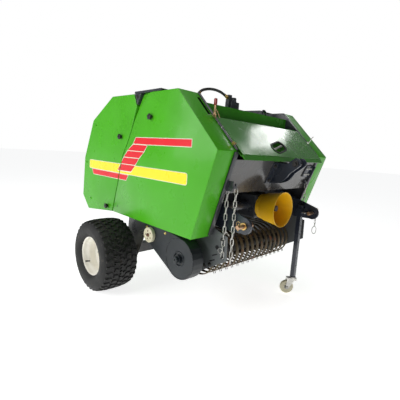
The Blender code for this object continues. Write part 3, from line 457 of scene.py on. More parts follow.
def hex_bolt(size=0.008):
    """A hex head on a washer, standing up along Z; size is half the head's width."""
    maker = bmesh.new()
    turned(maker, [(0, -0.0002), (size * 1.35, -0.0002), (size * 1.35, size * 0.14),
                   (size * 1.25, size * 0.2), (0, size * 0.2)],
           "Z", (0, 0, 0), 20)
    head = bmesh.ops.create_cone(maker, cap_ends=True, segments=6, radius1=size * 1.12, radius2=size * 1.12,
                                 depth=size * 0.8, matrix=Matrix.Translation((0, 0, size * 0.6)))["verts"]
    top = [f for f in maker.faces if all(v in head and v.co.z > size * 0.9 for v in f.verts)]
    bmesh.ops.bevel(maker, geom=[e for f in top for e in f.edges], offset=size * 0.16, segments=1,
                    profile=0.5,
                    material=-1, affect="EDGES")
    return pattern("hex_bolt", maker)


BOLT = hex_bolt()
SMALL_BOLT = hex_bolt(0.0055)


# ---------------------------------------------------------------- hydraulic hose
HOSE_POINTS = [(-0.142, -0.276, 1.2480), (-0.147, -0.276, 1.2480), (-0.168, -0.276, 1.2550),
               (-0.200, -0.277, 1.2650),
               (-0.245, -0.278, 1.2700), (-0.290, -0.279, 1.2680), (-0.330, -0.280, 1.2600),
               (-0.360, -0.281, 1.2490), (-0.381, -0.281, 1.2330), (-0.389, -0.281, 1.2190),
               (-0.389, -0.281, 1.2140)]
HOSE_R = 0.0075
HOSE_STEP = 0.015


def smooth_route(points, step):
    """Points about one step apart on a smooth curve through the given points."""
    given = [Vector(point) for point in points]
    given = [2 * given[0] - given[1]] + given + [2 * given[-1] - given[-2]]
    route = [given[1]]
    for index in range(1, len(given) - 2):
        p0, p1, p2, p3 = given[index - 1:index + 3]
        count = max(1, round((p2 - p1).length / step))
        for number in range(1, count + 1):
            t = number / count
            route.append(0.5 * (2 * p1 + (p2 - p0) * t + (2 * p0 - 5 * p1 + 4 * p2 - p3) * t * t
                                + (3 * p1 - p0 - 3 * p2 + p3) * t * t * t))
    return route


def hose():
    route = smooth_route(HOSE_POINTS, HOSE_STEP)
    maker = sweep(bmesh.new(), route, HOSE_R, 16)
    made = piece("hose", maker, "hose_rubber", replaces=["hydraulic_hose"])
    ends = bmesh.new()
    for place, inward in ((route[0], route[3] - route[0]), (route[-1], route[-4] - route[-1])):
        at = Vector(place)
        way = inward.normalized()
        sleeve = [at + way * step for step in (0.0, 0.004, 0.008, 0.020, 0.024)]
        sweep(ends, sleeve[:3], HOSE_R * 1.25, 6)
        sweep(ends, [at + way * 0.008, at + way * 0.012, at + way * 0.024, at + way * 0.028], HOSE_R * 1.16,
              16)
    ferrules = piece("hose_ferrules", ends, "yellow_zinc")


# ---------------------------------------------------------------- wheels
TREAD_PITCHES = 34
TREAD_DEPTH = 0.0075
TREAD_HALF = 0.100


def tread_base(x):
    """Radius of the grooves' bottom at a distance across the tyre."""
    return TYRE_R - TREAD_DEPTH - 0.010 * (abs(x) / TREAD_HALF) ** 3.2


def tread_block(outline, turn, centre, flip):
    """One rubber block: an outline (round the tyre, across it) raised off the carcass and bent round it."""
    maker = bmesh.new()
    points = outline[::-1] if flip else outline
    low, high = -0.0015, TREAD_DEPTH
    slab(maker, [(across, (-along if flip else along)) for along, across in points], "Z", low, high)
    tops = [f for f in maker.faces if all(v.co.z > high - 1e-6 for v in f.verts)]
    bmesh.ops.bevel(maker, geom=[e for f in tops for e in f.edges], offset=0.0013, segments=1, profile=0.5,
                    material=-1, affect="EDGES")
    for v in maker.verts:
        angle = turn + v.co.y / TYRE_R
        radius = tread_base(v.co.x) + v.co.z
        v.co = (centre[0] + v.co.x, centre[1] + radius * math.sin(angle),
                centre[2] + radius * math.cos(angle))
    return pattern("tread_block", maker)


def tyre(word, side):
    """The carcass as one closed profile of (radius, place across), and its rubber blocks."""
    centre = (side * WHEEL_X, AXLE_Y, TYRE_R)
    crown = [(tread_base(x), x) for x in (-0.100, -0.088, -0.07, -0.045, -0.015, 0.015, 0.045, 0.07, 0.088,
                                          0.100)]
    wall = [(0.2075, 0.1065), (0.198, 0.1130), (0.186, 0.1172), (0.1795, 0.1186), (0.1790, 0.11925),
            (0.1775, 0.11925), (0.1770, 0.1189), (0.172, 0.1192), (0.158, 0.1184), (0.145, 0.1150),
            (0.134, 0.1087), (0.1285, 0.1022), (0.1280, 0.1028), (0.1262, 0.1026), (0.1240, 0.0990),
            (0.1195, 0.0900), (0.1185, 0.0800)]
    inner = [(0.1600, 0.1050), (0.1930, 0.1010), (0.2080, 0.0600), (0.2100, 0.0)]
    far_wall = [(r, -x) for r, x in wall[::-1]]
    far_inner = [(r, -x) for r, x in inner[::-1][1:]]
    profile = far_wall + crown + wall + inner + far_inner
    maker = bmesh.new()
    turned(maker, profile, "X", centre, 96, closed=True)
    pitch = 2 * math.pi * TYRE_R / TREAD_PITCHES
    w = pitch * 0.36
    centre_block = [(-w, -0.019), (-w * 0.2, -0.008), (-w, 0.003), (-w * 0.4, 0.017), (w * 0.75, 0.019),
                    (w * 0.25, 0.005),
                    (w * 1.1, -0.006), (w * 0.7, -0.019)]
    mid_block = [(-w * 0.9, 0.023), (-w * 0.35, 0.036), (-w * 0.9, 0.047), (-w * 0.1, 0.058),
                 (w * 1.0, 0.058), (w * 0.4, 0.047),
                 (w * 1.0, 0.036), (w * 0.5, 0.023)]
    edge_block = [(-w * 0.75, 0.063), (-w * 0.3, 0.076), (-w * 0.85, 0.088), (-w * 0.6, 0.1035),
                  (w * 0.55, 0.1035),
                  (w * 0.3, 0.088), (w * 0.9, 0.076), (w * 0.45, 0.063)]
    for number in range(TREAD_PITCHES):
        turn = 2 * math.pi * number / TREAD_PITCHES
        half_turn = math.pi / TREAD_PITCHES
        blocks = [(centre_block, turn, False)]
        for outline, shift in ((mid_block, half_turn), (edge_block, 0.25 * half_turn)):
            blocks.append((outline, turn + shift, False))
            blocks.append(([(along, -across) for along, across in outline[::-1]], turn + shift, False))
        for outline, at, flip in blocks:
            maker.from_mesh(tread_block(outline, at, centre, flip))
    piece("tyre_tread_" + word, maker, "tyre_rubber", "wheel_" + word, ["tyre_" + word], 28)


def rim(word, side):
    """The pressed rim, its disc, the hub with five bolts, a cap and the valve stem."""
    centre = (side * WHEEL_X, AXLE_Y, TYRE_R)
    out = side
    barrel = [(0.1180, 0.0885), (0.1215, 0.0930), (0.1225, 0.0960), (0.1210, 0.0985), (0.1180, 0.0985),
              (0.1150, 0.0955),
              (0.1130, 0.0900), (0.1125, 0.0780), (0.1060, 0.0700), (0.0985, 0.0600), (0.0975, 0.0500),
              (0.0975, -0.0500), (0.1000, -0.0620), (0.1070, -0.0720), (0.1130, -0.0800), (0.1140, -0.0930),
              (0.1180, -0.0985), (0.1220, -0.0970), (0.1215, -0.0930), (0.1180, -0.0885), (0.1160, -0.0760),
              (0.1100, -0.0700), (0.1015, -0.0600), (0.1005, -0.0500), (0.1005, 0.0500), (0.1020, 0.0600),
              (0.1090, 0.0700), (0.1155, 0.0770)]
    disc = [(0.0210, 0.0250), (0.0400, 0.0250), (0.0430, 0.0235), (0.0500, 0.0170), (0.0600, 0.0130),
            (0.0800, 0.0120),
            (0.0900, 0.0150), (0.0985, 0.0220), (0.0985, 0.0180), (0.0920, 0.0115), (0.0800, 0.0085),
            (0.0600, 0.0095),
            (0.0480, 0.0140), (0.0400, 0.0215), (0.0210, 0.0215)]
    maker = bmesh.new()
    turned(maker, [(r, out * x) for r, x in barrel], "X", centre, 64, closed=True)
    turned(maker, [(r, out * x) for r, x in disc], "X", centre, 64, closed=True)
    piece("wheel_rim_" + word, maker, "cream_enamel", "wheel_" + word, ["rim_" + word], 40)
    hub = bmesh.new()
    boss = [(0.0206, -0.050), (0.0330, -0.050), (0.0340, -0.048), (0.0340, 0.012), (0.0300, 0.016),
            (0.0300, 0.0290), (0.0285, 0.0310), (0.0206, 0.0310)]
    turned(hub, [(r, out * x) for r, x in boss], "X", centre, 40, closed=True)
    for number in range(5):
        angle = 2 * math.pi * number / 5 + 0.3
        at = Vector(centre) + Vector((out * 0.0252, 0.0425 * math.sin(angle), 0.0425 * math.cos(angle)))
        stamp(hub, SMALL_BOLT, [facing(at, (out, 0, 0), angle)])
    piece("wheel_hub_" + word, hub, "zinc_plate", "wheel_" + word)
    cap = bmesh.new()
    turned(cap, [(0, out * 0.0440), (0.0100, out * 0.0435), (0.0165, out * 0.0410), (0.0200, out * 0.0365),
                 (0.0205, out * 0.0290), (0, out * 0.0290)], "X", centre, 32)
    piece("hub_cap_" + word, cap, "nylon", "wheel_" + word)
    valve = bmesh.new()
    angle = math.radians(128)
    start = Vector(centre) + Vector((out * 0.066, 0.1030 * math.sin(angle), 0.1030 * math.cos(angle)))
    inward = Vector((out * 0.9, -0.45 * math.sin(angle), -0.45 * math.cos(angle))).normalized()
    sweep(valve, [start, start + inward * 0.008, start + inward * 0.012, start + inward * 0.026], 0.0042, 10)
    sweep(valve, [start + inward * 0.024, start + inward * 0.034], 0.0052, 10)
    piece("valve_stem_" + word, valve, "black_plastic", "wheel_" + word)


# ---------------------------------------------------------------- stripes on the right side
def stripe(name, outline, look, lift, body="root"):
    """A thin vinyl sheet on the right covers; the seam cuts it in two if it crosses."""
    foot, knee = Vector((0, *SEAM[0])), Vector((0, *SEAM[1]))
    across = (knee - foot).cross(X).normalized()
    gap = Vector((0, SEAM_GAP, 0))
    for body, at, keep_front in (("root", foot - Y * 0.0005, True),
                                 ("tailgate", foot + gap + Y * 0.0005, False)):
        maker = bmesh.new()
        verts = [maker.verts.new((-COVER_X - lift, y, z)) for y, z in outline]
        bmesh.ops.contextual_create(maker, geom=verts)
        if across.y < 0:
            across = -across
        bmesh.ops.bisect_plane(maker, geom=maker.verts[:] + maker.edges[:] + maker.faces[:], plane_co=at,
                               plane_no=across,
                               clear_outer=keep_front, clear_inner=not keep_front)
        if not maker.faces:
            maker.free()
            continue
        grown = bmesh.ops.extrude_face_region(maker, geom=maker.faces[:])["geom"]
        bmesh.ops.translate(maker, verts=[g for g in grown if isinstance(g, bmesh.types.BMVert)],
                            vec=(-0.0003, 0, 0))
        piece(f"{name}_{'front' if keep_front else 'rear'}", maker, look, body)


def grown(outline, by):
    """An outline moved outwards all round, for the pale edge under a stripe."""
    middle = sum((Vector(p) for p in outline), Vector((0, 0))) / len(outline)
    made = []
    count = len(outline)
    for index, point in enumerate(outline):
        one = (Vector(point) - Vector(outline[index - 1])).normalized()
        two = (Vector(outline[(index + 1) % count]) - Vector(point)).normalized()
        sides = [Vector((d.y, -d.x)) for d in (one, two)]
        mitre = (sides[0] + sides[1]).normalized()
        step = mitre * by / max(0.4, mitre.dot(sides[0]))
        nudge = sides[0] * 0.001
        outwards = (Vector(point) + nudge - middle).length > (Vector(point) - nudge - middle).length
        away = step if outwards else -step
        made.append(tuple(Vector(point) + away))
    return made


def rounded(outline, radius, steps=4):
    """An outline with its corners rounded."""
    made = []
    count = len(outline)
    for index, point in enumerate(outline):
        corner = Vector(point)
        back = (Vector(outline[index - 1]) - corner)
        on = (Vector(outline[(index + 1) % count]) - corner)
        reach = min(radius, back.length * 0.45, on.length * 0.45)
        start, end = corner + back.normalized() * reach, corner + on.normalized() * reach
        for step in range(steps + 1):
            t = step / steps
            made.append(tuple(start.lerp(corner, t).lerp(corner.lerp(end, t), t)))
    return made


def stripes():
    yellow = rounded([(0.6245, 0.8110), (0.6245, 0.7555), (-0.4155, 0.7545), (-0.4155, 0.8105)], 0.012)
    upper = [(0.0425, 0.9765), (-0.4355, 0.9765), (-0.4355, 0.9420), (-0.0740, 0.9400), (0.0670, 0.9420)]
    rows = [((0.0670, 0.9385), (-0.0735, 0.9365)), ((0.1245, 0.8983), (-0.0434, 0.8976)),
            ((0.1678, 0.8567), (0.0043, 0.8579)),
            ((0.2008, 0.8143), (0.0434, 0.8143)), ((0.2349, 0.7706), (0.0841, 0.7720))]
    lower = [(0.5840, 0.7500), (0.5640, 0.7160), (0.1373, 0.7170), (0.1165, 0.7490)]
    edge = 0.0035
    stripe("stripe_yellow_edge", grown(yellow, edge), "white_vinyl", 0.0002)
    stripe("stripe_yellow", yellow, "yellow_vinyl", 0.0005)
    stripe("stripe_upper_edge", grown(upper, edge), "white_vinyl", 0.0002)
    stripe("stripe_upper", upper, "red_vinyl", 0.0005)
    stripe("stripe_lower_edge", grown(lower, edge), "white_vinyl", 0.00012)
    stripe("stripe_lower", lower, "red_vinyl", 0.00045)
    slant = [rows[0][0], rows[1][0], rows[2][0], rows[3][0], rows[4][0], rows[4][1], rows[3][1], rows[2][1],
             rows[1][1], rows[0][1]]
    stripe("stripe_slant_edge", grown(slant, edge), "white_vinyl", 0.00085)
    for number, (top, foot) in enumerate(zip(rows, rows[1:])):
        thin = 0.0022
        cell = [(top[0][0], top[0][1] - thin), (foot[0][0], foot[0][1] + thin),
                (foot[1][0], foot[1][1] + thin),
                (top[1][0], top[1][1] - thin)]
        stripe(f"stripe_slant_{number + 1}", cell, "red_vinyl", 0.0012)


# ---------------------------------------------------------------- side covers
CREASE = [(-0.0975, 1.2210), (0.0925, 1.0300)]
CREASE_FOLD = 0.30


def front_covers():
    """The front covers, each with a strip behind its crease folded in towards the seam's top."""
    start, end = Vector((0, *CREASE[0])), Vector((0, *CREASE[1]))
    across = (end - start).cross(X).normalized()
    if across.y < 0:
        across = -across
    for word, side in SIDES.items():
        maker = bmesh.new()
        maker.from_mesh(NODES["front_cover_" + word].data)
        bmesh.ops.remove_doubles(maker, verts=maker.verts, dist=0.00001)
        bmesh.ops.bisect_plane(maker, geom=maker.verts[:] + maker.edges[:] + maker.faces[:], plane_co=start,
                               plane_no=across)
        for v in maker.verts:
            past = (v.co - start).dot(across)
            if past > 0.0001 and abs(v.co.x) > 0.5:
                v.co.x -= side * past * CREASE_FOLD
        piece("front_side_cover_" + word, maker, "green_enamel", replaces=["front_cover_" + word], sharp=20)


def knob_pattern():
    """A five-lobed clamping knob on a short collar, standing up along Z."""
    maker = bmesh.new()
    ring = bmesh.ops.create_circle(maker, cap_ends=True, segments=40, radius=0.0155)["verts"]
    for v in ring:
        angle = math.atan2(v.co.y, v.co.x)
        v.co *= 1 + 0.13 * math.cos(5 * angle)
    bmesh.ops.translate(maker, verts=ring, vec=(0, 0, 0.007))
    grown_up = bmesh.ops.extrude_face_region(maker, geom=maker.faces[:])["geom"]
    bmesh.ops.translate(maker, verts=[g for g in grown_up if isinstance(g, bmesh.types.BMVert)],
                        vec=(0, 0, 0.013))
    rims = [e for e in maker.edges if abs(e.verts[0].co.z - e.verts[1].co.z) < 1e-6]
    bmesh.ops.bevel(maker, geom=rims, offset=0.003, segments=3, profile=0.5, material=-1, affect="EDGES")
    turned(maker, [(0, 0), (0.0105, 0), (0.0105, 0.0075), (0, 0.0075)], "Z", (0, 0, 0), 24)
    turned(maker, [(0, 0.0195), (0.0062, 0.0195), (0.0062, 0.0222), (0.005, 0.0232), (0, 0.0232)], "Z",
           (0, 0, 0), 24)
    return pattern("knob", maker)


KNOBS = (("root", -0.1005, 1.0900), ("tailgate", 0.2055, 0.9790), ("tailgate", 0.3585, 0.5200))


def knobs_and_lugs():
    """The covers' knobs, and the hinge lugs, their bolts and the latch slots beside them."""
    knob = knob_pattern()
    for word, side in SIDES.items():
        for number, (body, y, z) in enumerate(KNOBS, 1):
            maker = bmesh.new()
            stamp(maker, knob, [facing((side * (COVER_X + 0.0002), y, z), (side, 0, 0), 0.3 * number)])
            piece(f"cover_knob_{word}_{number}", maker, "black_plastic", body)
        lug = bmesh.new()
        low, high = sorted((side * 0.5200, side * 0.5545))
        slab(lug, [(0.0105, 1.2238), (0.0700, 1.2238), (0.0455, 1.1640), (0.0400, 1.1640)], "X", low, high,
             0.001)
        piece("hinge_lug_" + word, lug, "charcoal_enamel")
        bolt = bmesh.new()
        stamp(bolt, BOLT, [facing((side * 0.5546, 0.0405, 1.2060), (side, 0, 0), 0.4)])
        piece("hinge_lug_bolt_" + word, bolt, "dark_steel")
        slot = bmesh.new()
        low, high = sorted((side * (COVER_X - 0.0001), side * (COVER_X + 0.0004)))
        slab(slot, rounded([(0.2270, 0.5320), (0.2320, 0.5320), (0.2320, 0.5470), (0.2270, 0.5470)], 0.002,
                           3), "X", low, high)
        piece("latch_slot_" + word, slot, "black_plastic")


def slope_place(share, lift=0.0):
    """(y, z) on the covers' slanted front edge, from the nose (0) to the top (1), lifted square to it."""
    at = Vector(NOSE).lerp(Vector(FRONT_TOP), share)
    along = (Vector(FRONT_TOP) - Vector(NOSE)).normalized()
    return tuple(at + Vector((-along.y, along.x)) * lift)


def edge_bars():
    """Folded edges of the side plates along the slanted front, and down the front beside the twine box."""
    for word, side in SIDES.items():
        low, high = sorted((side * 0.4120, side * 0.4265))
        maker = bmesh.new()
        slab(maker, [slope_place(0.012, 0.0006), slope_place(0.985, 0.0006), slope_place(0.985, 0.0070),
                     slope_place(0.012, 0.0070)], "X", low, high, 0.0022, 3)
        piece("slanted_edge_bar_" + word, maker, "edge_steel")
        maker = bmesh.new()
        foot, top = Vector(FRONT_FOOT), Vector(NOSE)
        along = (top - foot).normalized()
        out = Vector((-along.y, along.x))
        if out.x > 0:
            out = -out
        ends = [foot + along * 0.010, top - along * 0.004]
        outline = [tuple(ends[0] + out * 0.0006), tuple(ends[1] + out * 0.0006),
                   tuple(ends[1] + out * 0.0085), tuple(ends[0] + out * 0.0085)]
        low, high = sorted((side * 0.4130, side * 0.4400))
        slab(maker, outline, "X", low, high, 0.0018, 2)
        piece("front_edge_bar_" + word, maker, "charcoal_enamel")


def small_steel():
    """Latch clips, the hood rod and its pin, and thin wires on the slanted edges."""
    wires = bmesh.new()
    sweep(wires, [(-0.4790, -0.4500, 1.0995), (-0.4550, -0.4480, 1.1060), (-0.4280, -0.4490, 1.1040),
                  (-0.4240, -0.4530, 1.0990)], 0.0013, 6)
    for y, z, tilt in ((-0.4797, 1.0600, 1), (-0.5014, 1.0400, -1)):
        ring = [(-0.4215 + 0.0055 * math.cos(t), y + tilt * 0.005 * math.sin(t),
                 z + 0.010 * math.sin(t) + 0.002)
                for t in angles(7)]
        sweep(wires, ring, 0.0016, 6, closed=True)
    piece("edge_clips", wires, "zinc_plate")
    rod = bmesh.new()
    sweep(rod, [(-0.4200, -0.5000, 1.0440), (-0.4200, -0.5300, 1.0160), (-0.4200, -0.5600, 0.9870),
                (-0.4200, -0.5790, 0.9700)], 0.0026, 8)
    piece("hood_rod", rod, "dark_steel")
    pin = bmesh.new()
    sweep(pin, [(-0.4330, -0.5900, 0.9705), (-0.4180, -0.5850, 0.9705), (-0.4020, -0.5790, 0.9720)], 0.0048,
          10)
    turned(pin, [(0, -0.4370), (0.0085, -0.4370), (0.0085, -0.4330), (0, -0.4330)], "X",
           (0, -0.5912, 0.9705), 20)
    piece("hood_rod_pin", pin, "yellow_zinc")
    far = bmesh.new()
    sweep(far, [(0.4190, -0.5300, 1.0200), (0.4200, -0.5400, 1.0330), (0.4220, -0.5520, 1.0560),
                (0.4230, -0.5600, 1.0640)], 0.0030, 8)
    stamp(far, SMALL_BOLT, [facing((0.4190, -0.5240, 1.0240), (0, -0.70, 0.71))])
    block(far, (0.4120, -0.5360, 1.0060), (0.4240, -0.5180, 1.0230), 0.0015)
    piece("far_latch", far, "zinc_plate")


def net_lever():
    """The flat lever with a red grip on the right slanted edge."""
    y, z = slope_place(0.52)
    steel = bmesh.new()
    slab(steel, rounded([(y - 0.016, z - 0.001), (y + 0.014, z + 0.016), (y + 0.004, z + 0.036),
                         (y - 0.012, z + 0.028)], 0.006), "X", -0.4345, -0.4318)
    slab(steel, rounded([(y - 0.0065, z + 0.010), (y + 0.0065, z + 0.010), (y + 0.0062, z + 0.078),
                         (y - 0.0062, z + 0.078)], 0.003), "X", -0.4315, -0.4275)
    stamp(steel, SMALL_BOLT, [facing((-0.4346, y - 0.001, z + 0.020), (-1, 0, 0))])
    sweep(steel, [(-0.4295, y - 0.004, z + 0.050), (-0.4290, y - 0.020, z + 0.030),
                  (-0.4280, y - 0.034, z + 0.004)], 0.0020, 8)
    piece("lever_steel", steel, "bronze_zinc", replaces=["shutoff_lever"])
    grip = bmesh.new()
    slab(grip, rounded([(y - 0.0078, z + 0.066), (y + 0.0078, z + 0.066), (y + 0.0080, z + 0.1000),
                        (y - 0.0080, z + 0.1000)], 0.006, 2), "X", -0.4345, -0.4245, 0.0018, 2)
    piece("lever_grip", grip, "red_plastic")


# ---------------------------------------------------------------- hood
HANDLE_TURN = math.radians(17)
HANDLE_HOLE = (0.076, 0.034)          # half its length and half its width
BEZEL = ((0.0815, 0.0395, 0.0001), (0.0815, 0.0395, 0.0022), (0.0795, 0.0375, 0.0036),
         (0.0745, 0.0325, 0.0036), (0.0725, 0.0305, 0.0016), (0.0725, 0.0305, -0.0060))
CUP = ((0.0722, 0.0302, -0.0062), (0.0722, 0.0302, -0.0220), (0.0670, 0.0250, -0.0270))


def hood_place():
    """A matrix on the hood's outer face: X across, Y up the slope, Z outwards, at the handle's middle."""
    up_slope = (Vector((0, *HOOD_TOP)) - Vector((0, *HOOD_EDGE))).normalized()
    made = Matrix((X, up_slope, X.cross(up_slope))).transposed().to_4x4()
    made = made @ Matrix.Rotation(HANDLE_TURN, 4, "Z")
    made.translation = Vector((-0.020, 0, 0)) + Vector((0, *HOOD_EDGE)).lerp(Vector((0, *HOOD_TOP)), 0.285)
    return made


def stadium(half_length, half_width, steps=10):
    """Points of an outline with straight sides and round ends."""
    made = []
    for side in (1, -1):
        for step in range(steps + 1):
            angle = -math.pi / 2 + math.pi * step / steps
            made.append((side * (half_length - half_width) + side * half_width * math.cos(angle),
                         side * half_width * math.sin(angle)))
    return made


def inward(points, by):
    """A closed outline moved in by a sheet's thickness, on its lower side."""
    made = []
    for index, point in enumerate(points):
        sides = []
        for one, two in ((index - 1, index), (index, index + 1)):
            if 0 <= one and two < len(points):
                step = (Vector(points[two]) - Vector(points[one])).normalized()
                sides.append(Vector((step.y, -step.x)))
        mitre = sum(sides, Vector((0, 0))).normalized()
        made.append(tuple(Vector(point) + mitre * by / mitre.dot(sides[0])))
    return made


def hood():
    """The hood: a bent sheet with its returns, and a recessed handle."""
    line = [HOOD_LIP, HOOD_EDGE, HOOD_TOP]
    maker = bmesh.new()
    under = inward(line, 0.0025)
    slab(maker, line + under[::-1], "X", -HOOD_HALF, HOOD_HALF)
    sheet = piece("hood_sheet", maker, "green_with_painted_shade", "hood", ["hood"], 25)
    place = hood_place()
    cutter = bmesh.new()
    slab(cutter, stadium(*HANDLE_HOLE), "Z", -0.02, 0.02)
    bmesh.ops.transform(cutter, matrix=place, verts=cutter.verts)
    bmesh.ops.recalc_face_normals(cutter, faces=cutter.faces)
    tool = bpy.data.objects.new("hood_cutter", pattern("hood_cutter", cutter))
    bpy.context.scene.collection.objects.link(tool)
    cut = sheet.modifiers.new("handle_hole", "BOOLEAN")
    cut.object, cut.operation, cut.solver = tool, "DIFFERENCE", "EXACT"
    bpy.context.view_layer.update()
    done = bpy.data.meshes.new_from_object(sheet.evaluated_get(bpy.context.evaluated_depsgraph_get()))
    sheet.modifiers.clear()
    sheet.data = done
    bpy.data.objects.remove(tool)
    sides = bmesh.new()
    top, edge = Vector(HOOD_TOP), Vector(HOOD_EDGE)
    down = Vector((0.6804, -0.7329))
    for side in (-1, 1):
        low, high = sorted((side * (HOOD_HALF - 0.0025), side * HOOD_HALF))
        slab(sides, [tuple(top + down * 0.0026), tuple(edge + down * 0.0026), tuple(edge + down * 0.016),
                     tuple(top + down * 0.016)], "X", low, high)
        low, high = sorted((side * (HOOD_HALF - 0.012), side * (HOOD_HALF + 0.0058)))
        turned(sides, [(0, low), (0.006, low), (0.006, high), (0, high)], "X", (0, *HOOD_AXIS), 20)
    piece("hood_returns", sides, "green_with_painted_shade", "hood")
    for name, look, rows in (("handle_bezel", "black_plastic", BEZEL), ("handle_cup", "green_with_painted_shade", CUP)):
        cup = bmesh.new()
        rings = [[cup.verts.new((u, v, height)) for u, v in stadium(long, wide)] for long, wide,
                 height in rows]
        for one, other in zip(rings, rings[1:]):
            for i in range(len(one)):
                cup.faces.new((one[i - 1], one[i], other[i], other[i - 1]))
        if name == "handle_cup":
            bmesh.ops.contextual_create(cup, geom=rings[-1])
        bmesh.ops.recalc_face_normals(cup, faces=cup.faces)
        bmesh.ops.solidify(cup, geom=cup.faces[:], thickness=0.0012)
        bmesh.ops.transform(cup, matrix=place, verts=cup.verts)
        piece(name, cup, look, "hood")
    bar = bmesh.new()
    sweep(bar, [place @ Vector(p) for p in ((-0.0640, 0, -0.0140), (-0.0540, 0, -0.0040),
                                            (-0.0300, 0, 0.0010), (0.0300, 0, 0.0010),
                                            (0.0540, 0, -0.0040), (0.0640, 0, -0.0140))], 0.0055, 12)
    piece("handle_bar", bar, "zinc_plate", "hood")


# ---------------------------------------------------------------- chains
LINK = (0.0327, 0.0195, 0.0026)       # pitch, width and wire of the lift chains
HOOK_Z, LIFT_FOOT_Z, LOOSE_FOOT_Z = 0.7560, 0.3900, 0.3640
LIFT_X, LIFT_Y = 0.4060, -0.5550
LOOSE_X, LOOSE_Y = -0.3785, -0.5870


def link_pattern(pitch, width, wire):
    """One oval chain link, long along Z."""
    maker = bmesh.new()
    reach, half = pitch / 2 + wire, width / 2 - wire
    route = []
    for end in (1, -1):
        for step in range(5):
            angle = math.pi * step / 4
            route.append((end * half * math.cos(angle), 0, end * (reach - half + half * math.sin(angle))))
    sweep(maker, route, wire, 8, closed=True, start_side=Y)
    return pattern("chain_link", maker)


def chain(top, foot, pitch, width, wire, spin):
    """Links from a top point to a foot, each turned a quarter to the last."""
    top, foot = Vector(top), Vector(foot)
    link = link_pattern(pitch, width, wire)
    count = max(2, round((foot - top).length / pitch))
    maker = bmesh.new()
    way = (foot - top).normalized()
    for number in range(count):
        at = top.lerp(foot, (number + 0.5) / count)
        lean = 0.12 * math.sin(number * 2.3 + spin * 5)
        stamp(maker, link, [facing(at, way, spin + lean + (math.pi / 2 if number % 2 else 0))])
    return maker


def chain_hook(word, side, places):
    """The bent bars that the chains hang from, and their foot on the side plate."""
    hook = bmesh.new()
    inner = side * 0.3860
    for y in places:
        sweep(hook, [(side * 0.4150, y, 0.7600), (inner + side * 0.0150, y, 0.7605),
                     (inner + side * 0.0050, y, 0.7620), (inner, y, 0.7680),
                     (inner - side * 0.0004, y, 0.7780)], 0.0050, 10)
    low, high = sorted((side * 0.4152, side * 0.4096))
    block(hook, (low, min(places) - 0.0080, 0.7390), (high, -0.5340, 0.7900), 0.0015)
    piece("chain_hook_" + word, hook, "charcoal_enamel")


def chains():
    """The lift chains, the loose chain beside the right one, and the short pin chain."""
    for word, side in SIDES.items():
        links = chain((side * LIFT_X, LIFT_Y, HOOK_Z), (side * LIFT_X, LIFT_Y, LIFT_FOOT_Z), *LINK, 1.15)
        piece("lift_chain_links_" + word, links, "zinc_plate", replaces=["lift_chain_" + word])
        stud = bmesh.new()
        sweep(stud, [(side * 0.4040, -0.5560, 0.3960), (side * 0.4085, -0.5560, 0.3920),
                     (side * 0.4180, -0.5560, 0.3900)], 0.0040, 10)
        piece("lift_chain_stud_" + word, stud, "dark_steel")
    chain_hook("right", -1, (LIFT_Y, LOOSE_Y))
    chain_hook("left", 1, (LIFT_Y,))
    links = chain((LOOSE_X, LOOSE_Y, HOOK_Z), (LOOSE_X, LOOSE_Y, LOOSE_FOOT_Z), *LINK, 1.15)
    piece("loose_chain_links", links, "zinc_plate", replaces=["loose_chain"])
    keeper = chain((0.4150, -0.6455, 0.5560), (0.4150, -0.6455, 0.4760), 0.020, 0.013, 0.0018, 0.8)
    loop = [(0.4150 - 0.010 * math.cos(t), -0.6455 + 0.010 * math.cos(t),
             0.4500 + 0.026 * math.sin(t)) for t in angles(8)]
    sweep(keeper, loop, 0.0026, 8, closed=True)
    piece("pin_chain", keeper, "zinc_plate")


def hitch_pins():
    """The lower link pins: a plain bar with a welded collar, and a sprung ring through its outer end."""
    y, z = HITCH
    for word, side in SIDES.items():
        pin = bmesh.new()
        profile = [(0, 0.3010), (0.0095, 0.3010), (0.0110, 0.3030), (0.0110, 0.4190), (0.0095, 0.4215),
                   (0, 0.4215)]
        turned(pin, [(radius, side * x) for radius, x in profile], "X", (0, y, z), 28)
        piece("lower_link_pin_" + word, pin, "bronze_zinc", replaces=["hitch_pin_" + word])
        collar = bmesh.new()
        profile = [(0.0112, 0.3674), (0.0182, 0.3674), (0.0190, 0.3684), (0.0190, 0.3740), (0.0180, 0.3752),
                   (0.0112, 0.3752)]
        turned(collar, [(radius, side * x) for radius, x in profile], "X", (0, y, z), 32, closed=True)
        ring = [(side * (0.4105 + 0.003 * math.sin(t)), y + 0.0135 * math.cos(t),
                 z + 0.0150 + 0.0135 * math.sin(t)) for t in angles(12)]
        sweep(collar, ring, 0.0014, 8, closed=True)
        sweep(collar, [(side * 0.4105, y + 0.002, z - 0.0175), (side * 0.4105, y + 0.001, z + 0.0185)],
              0.0026, 10)
        piece("pin_ring_" + word, collar, "yellow_zinc")


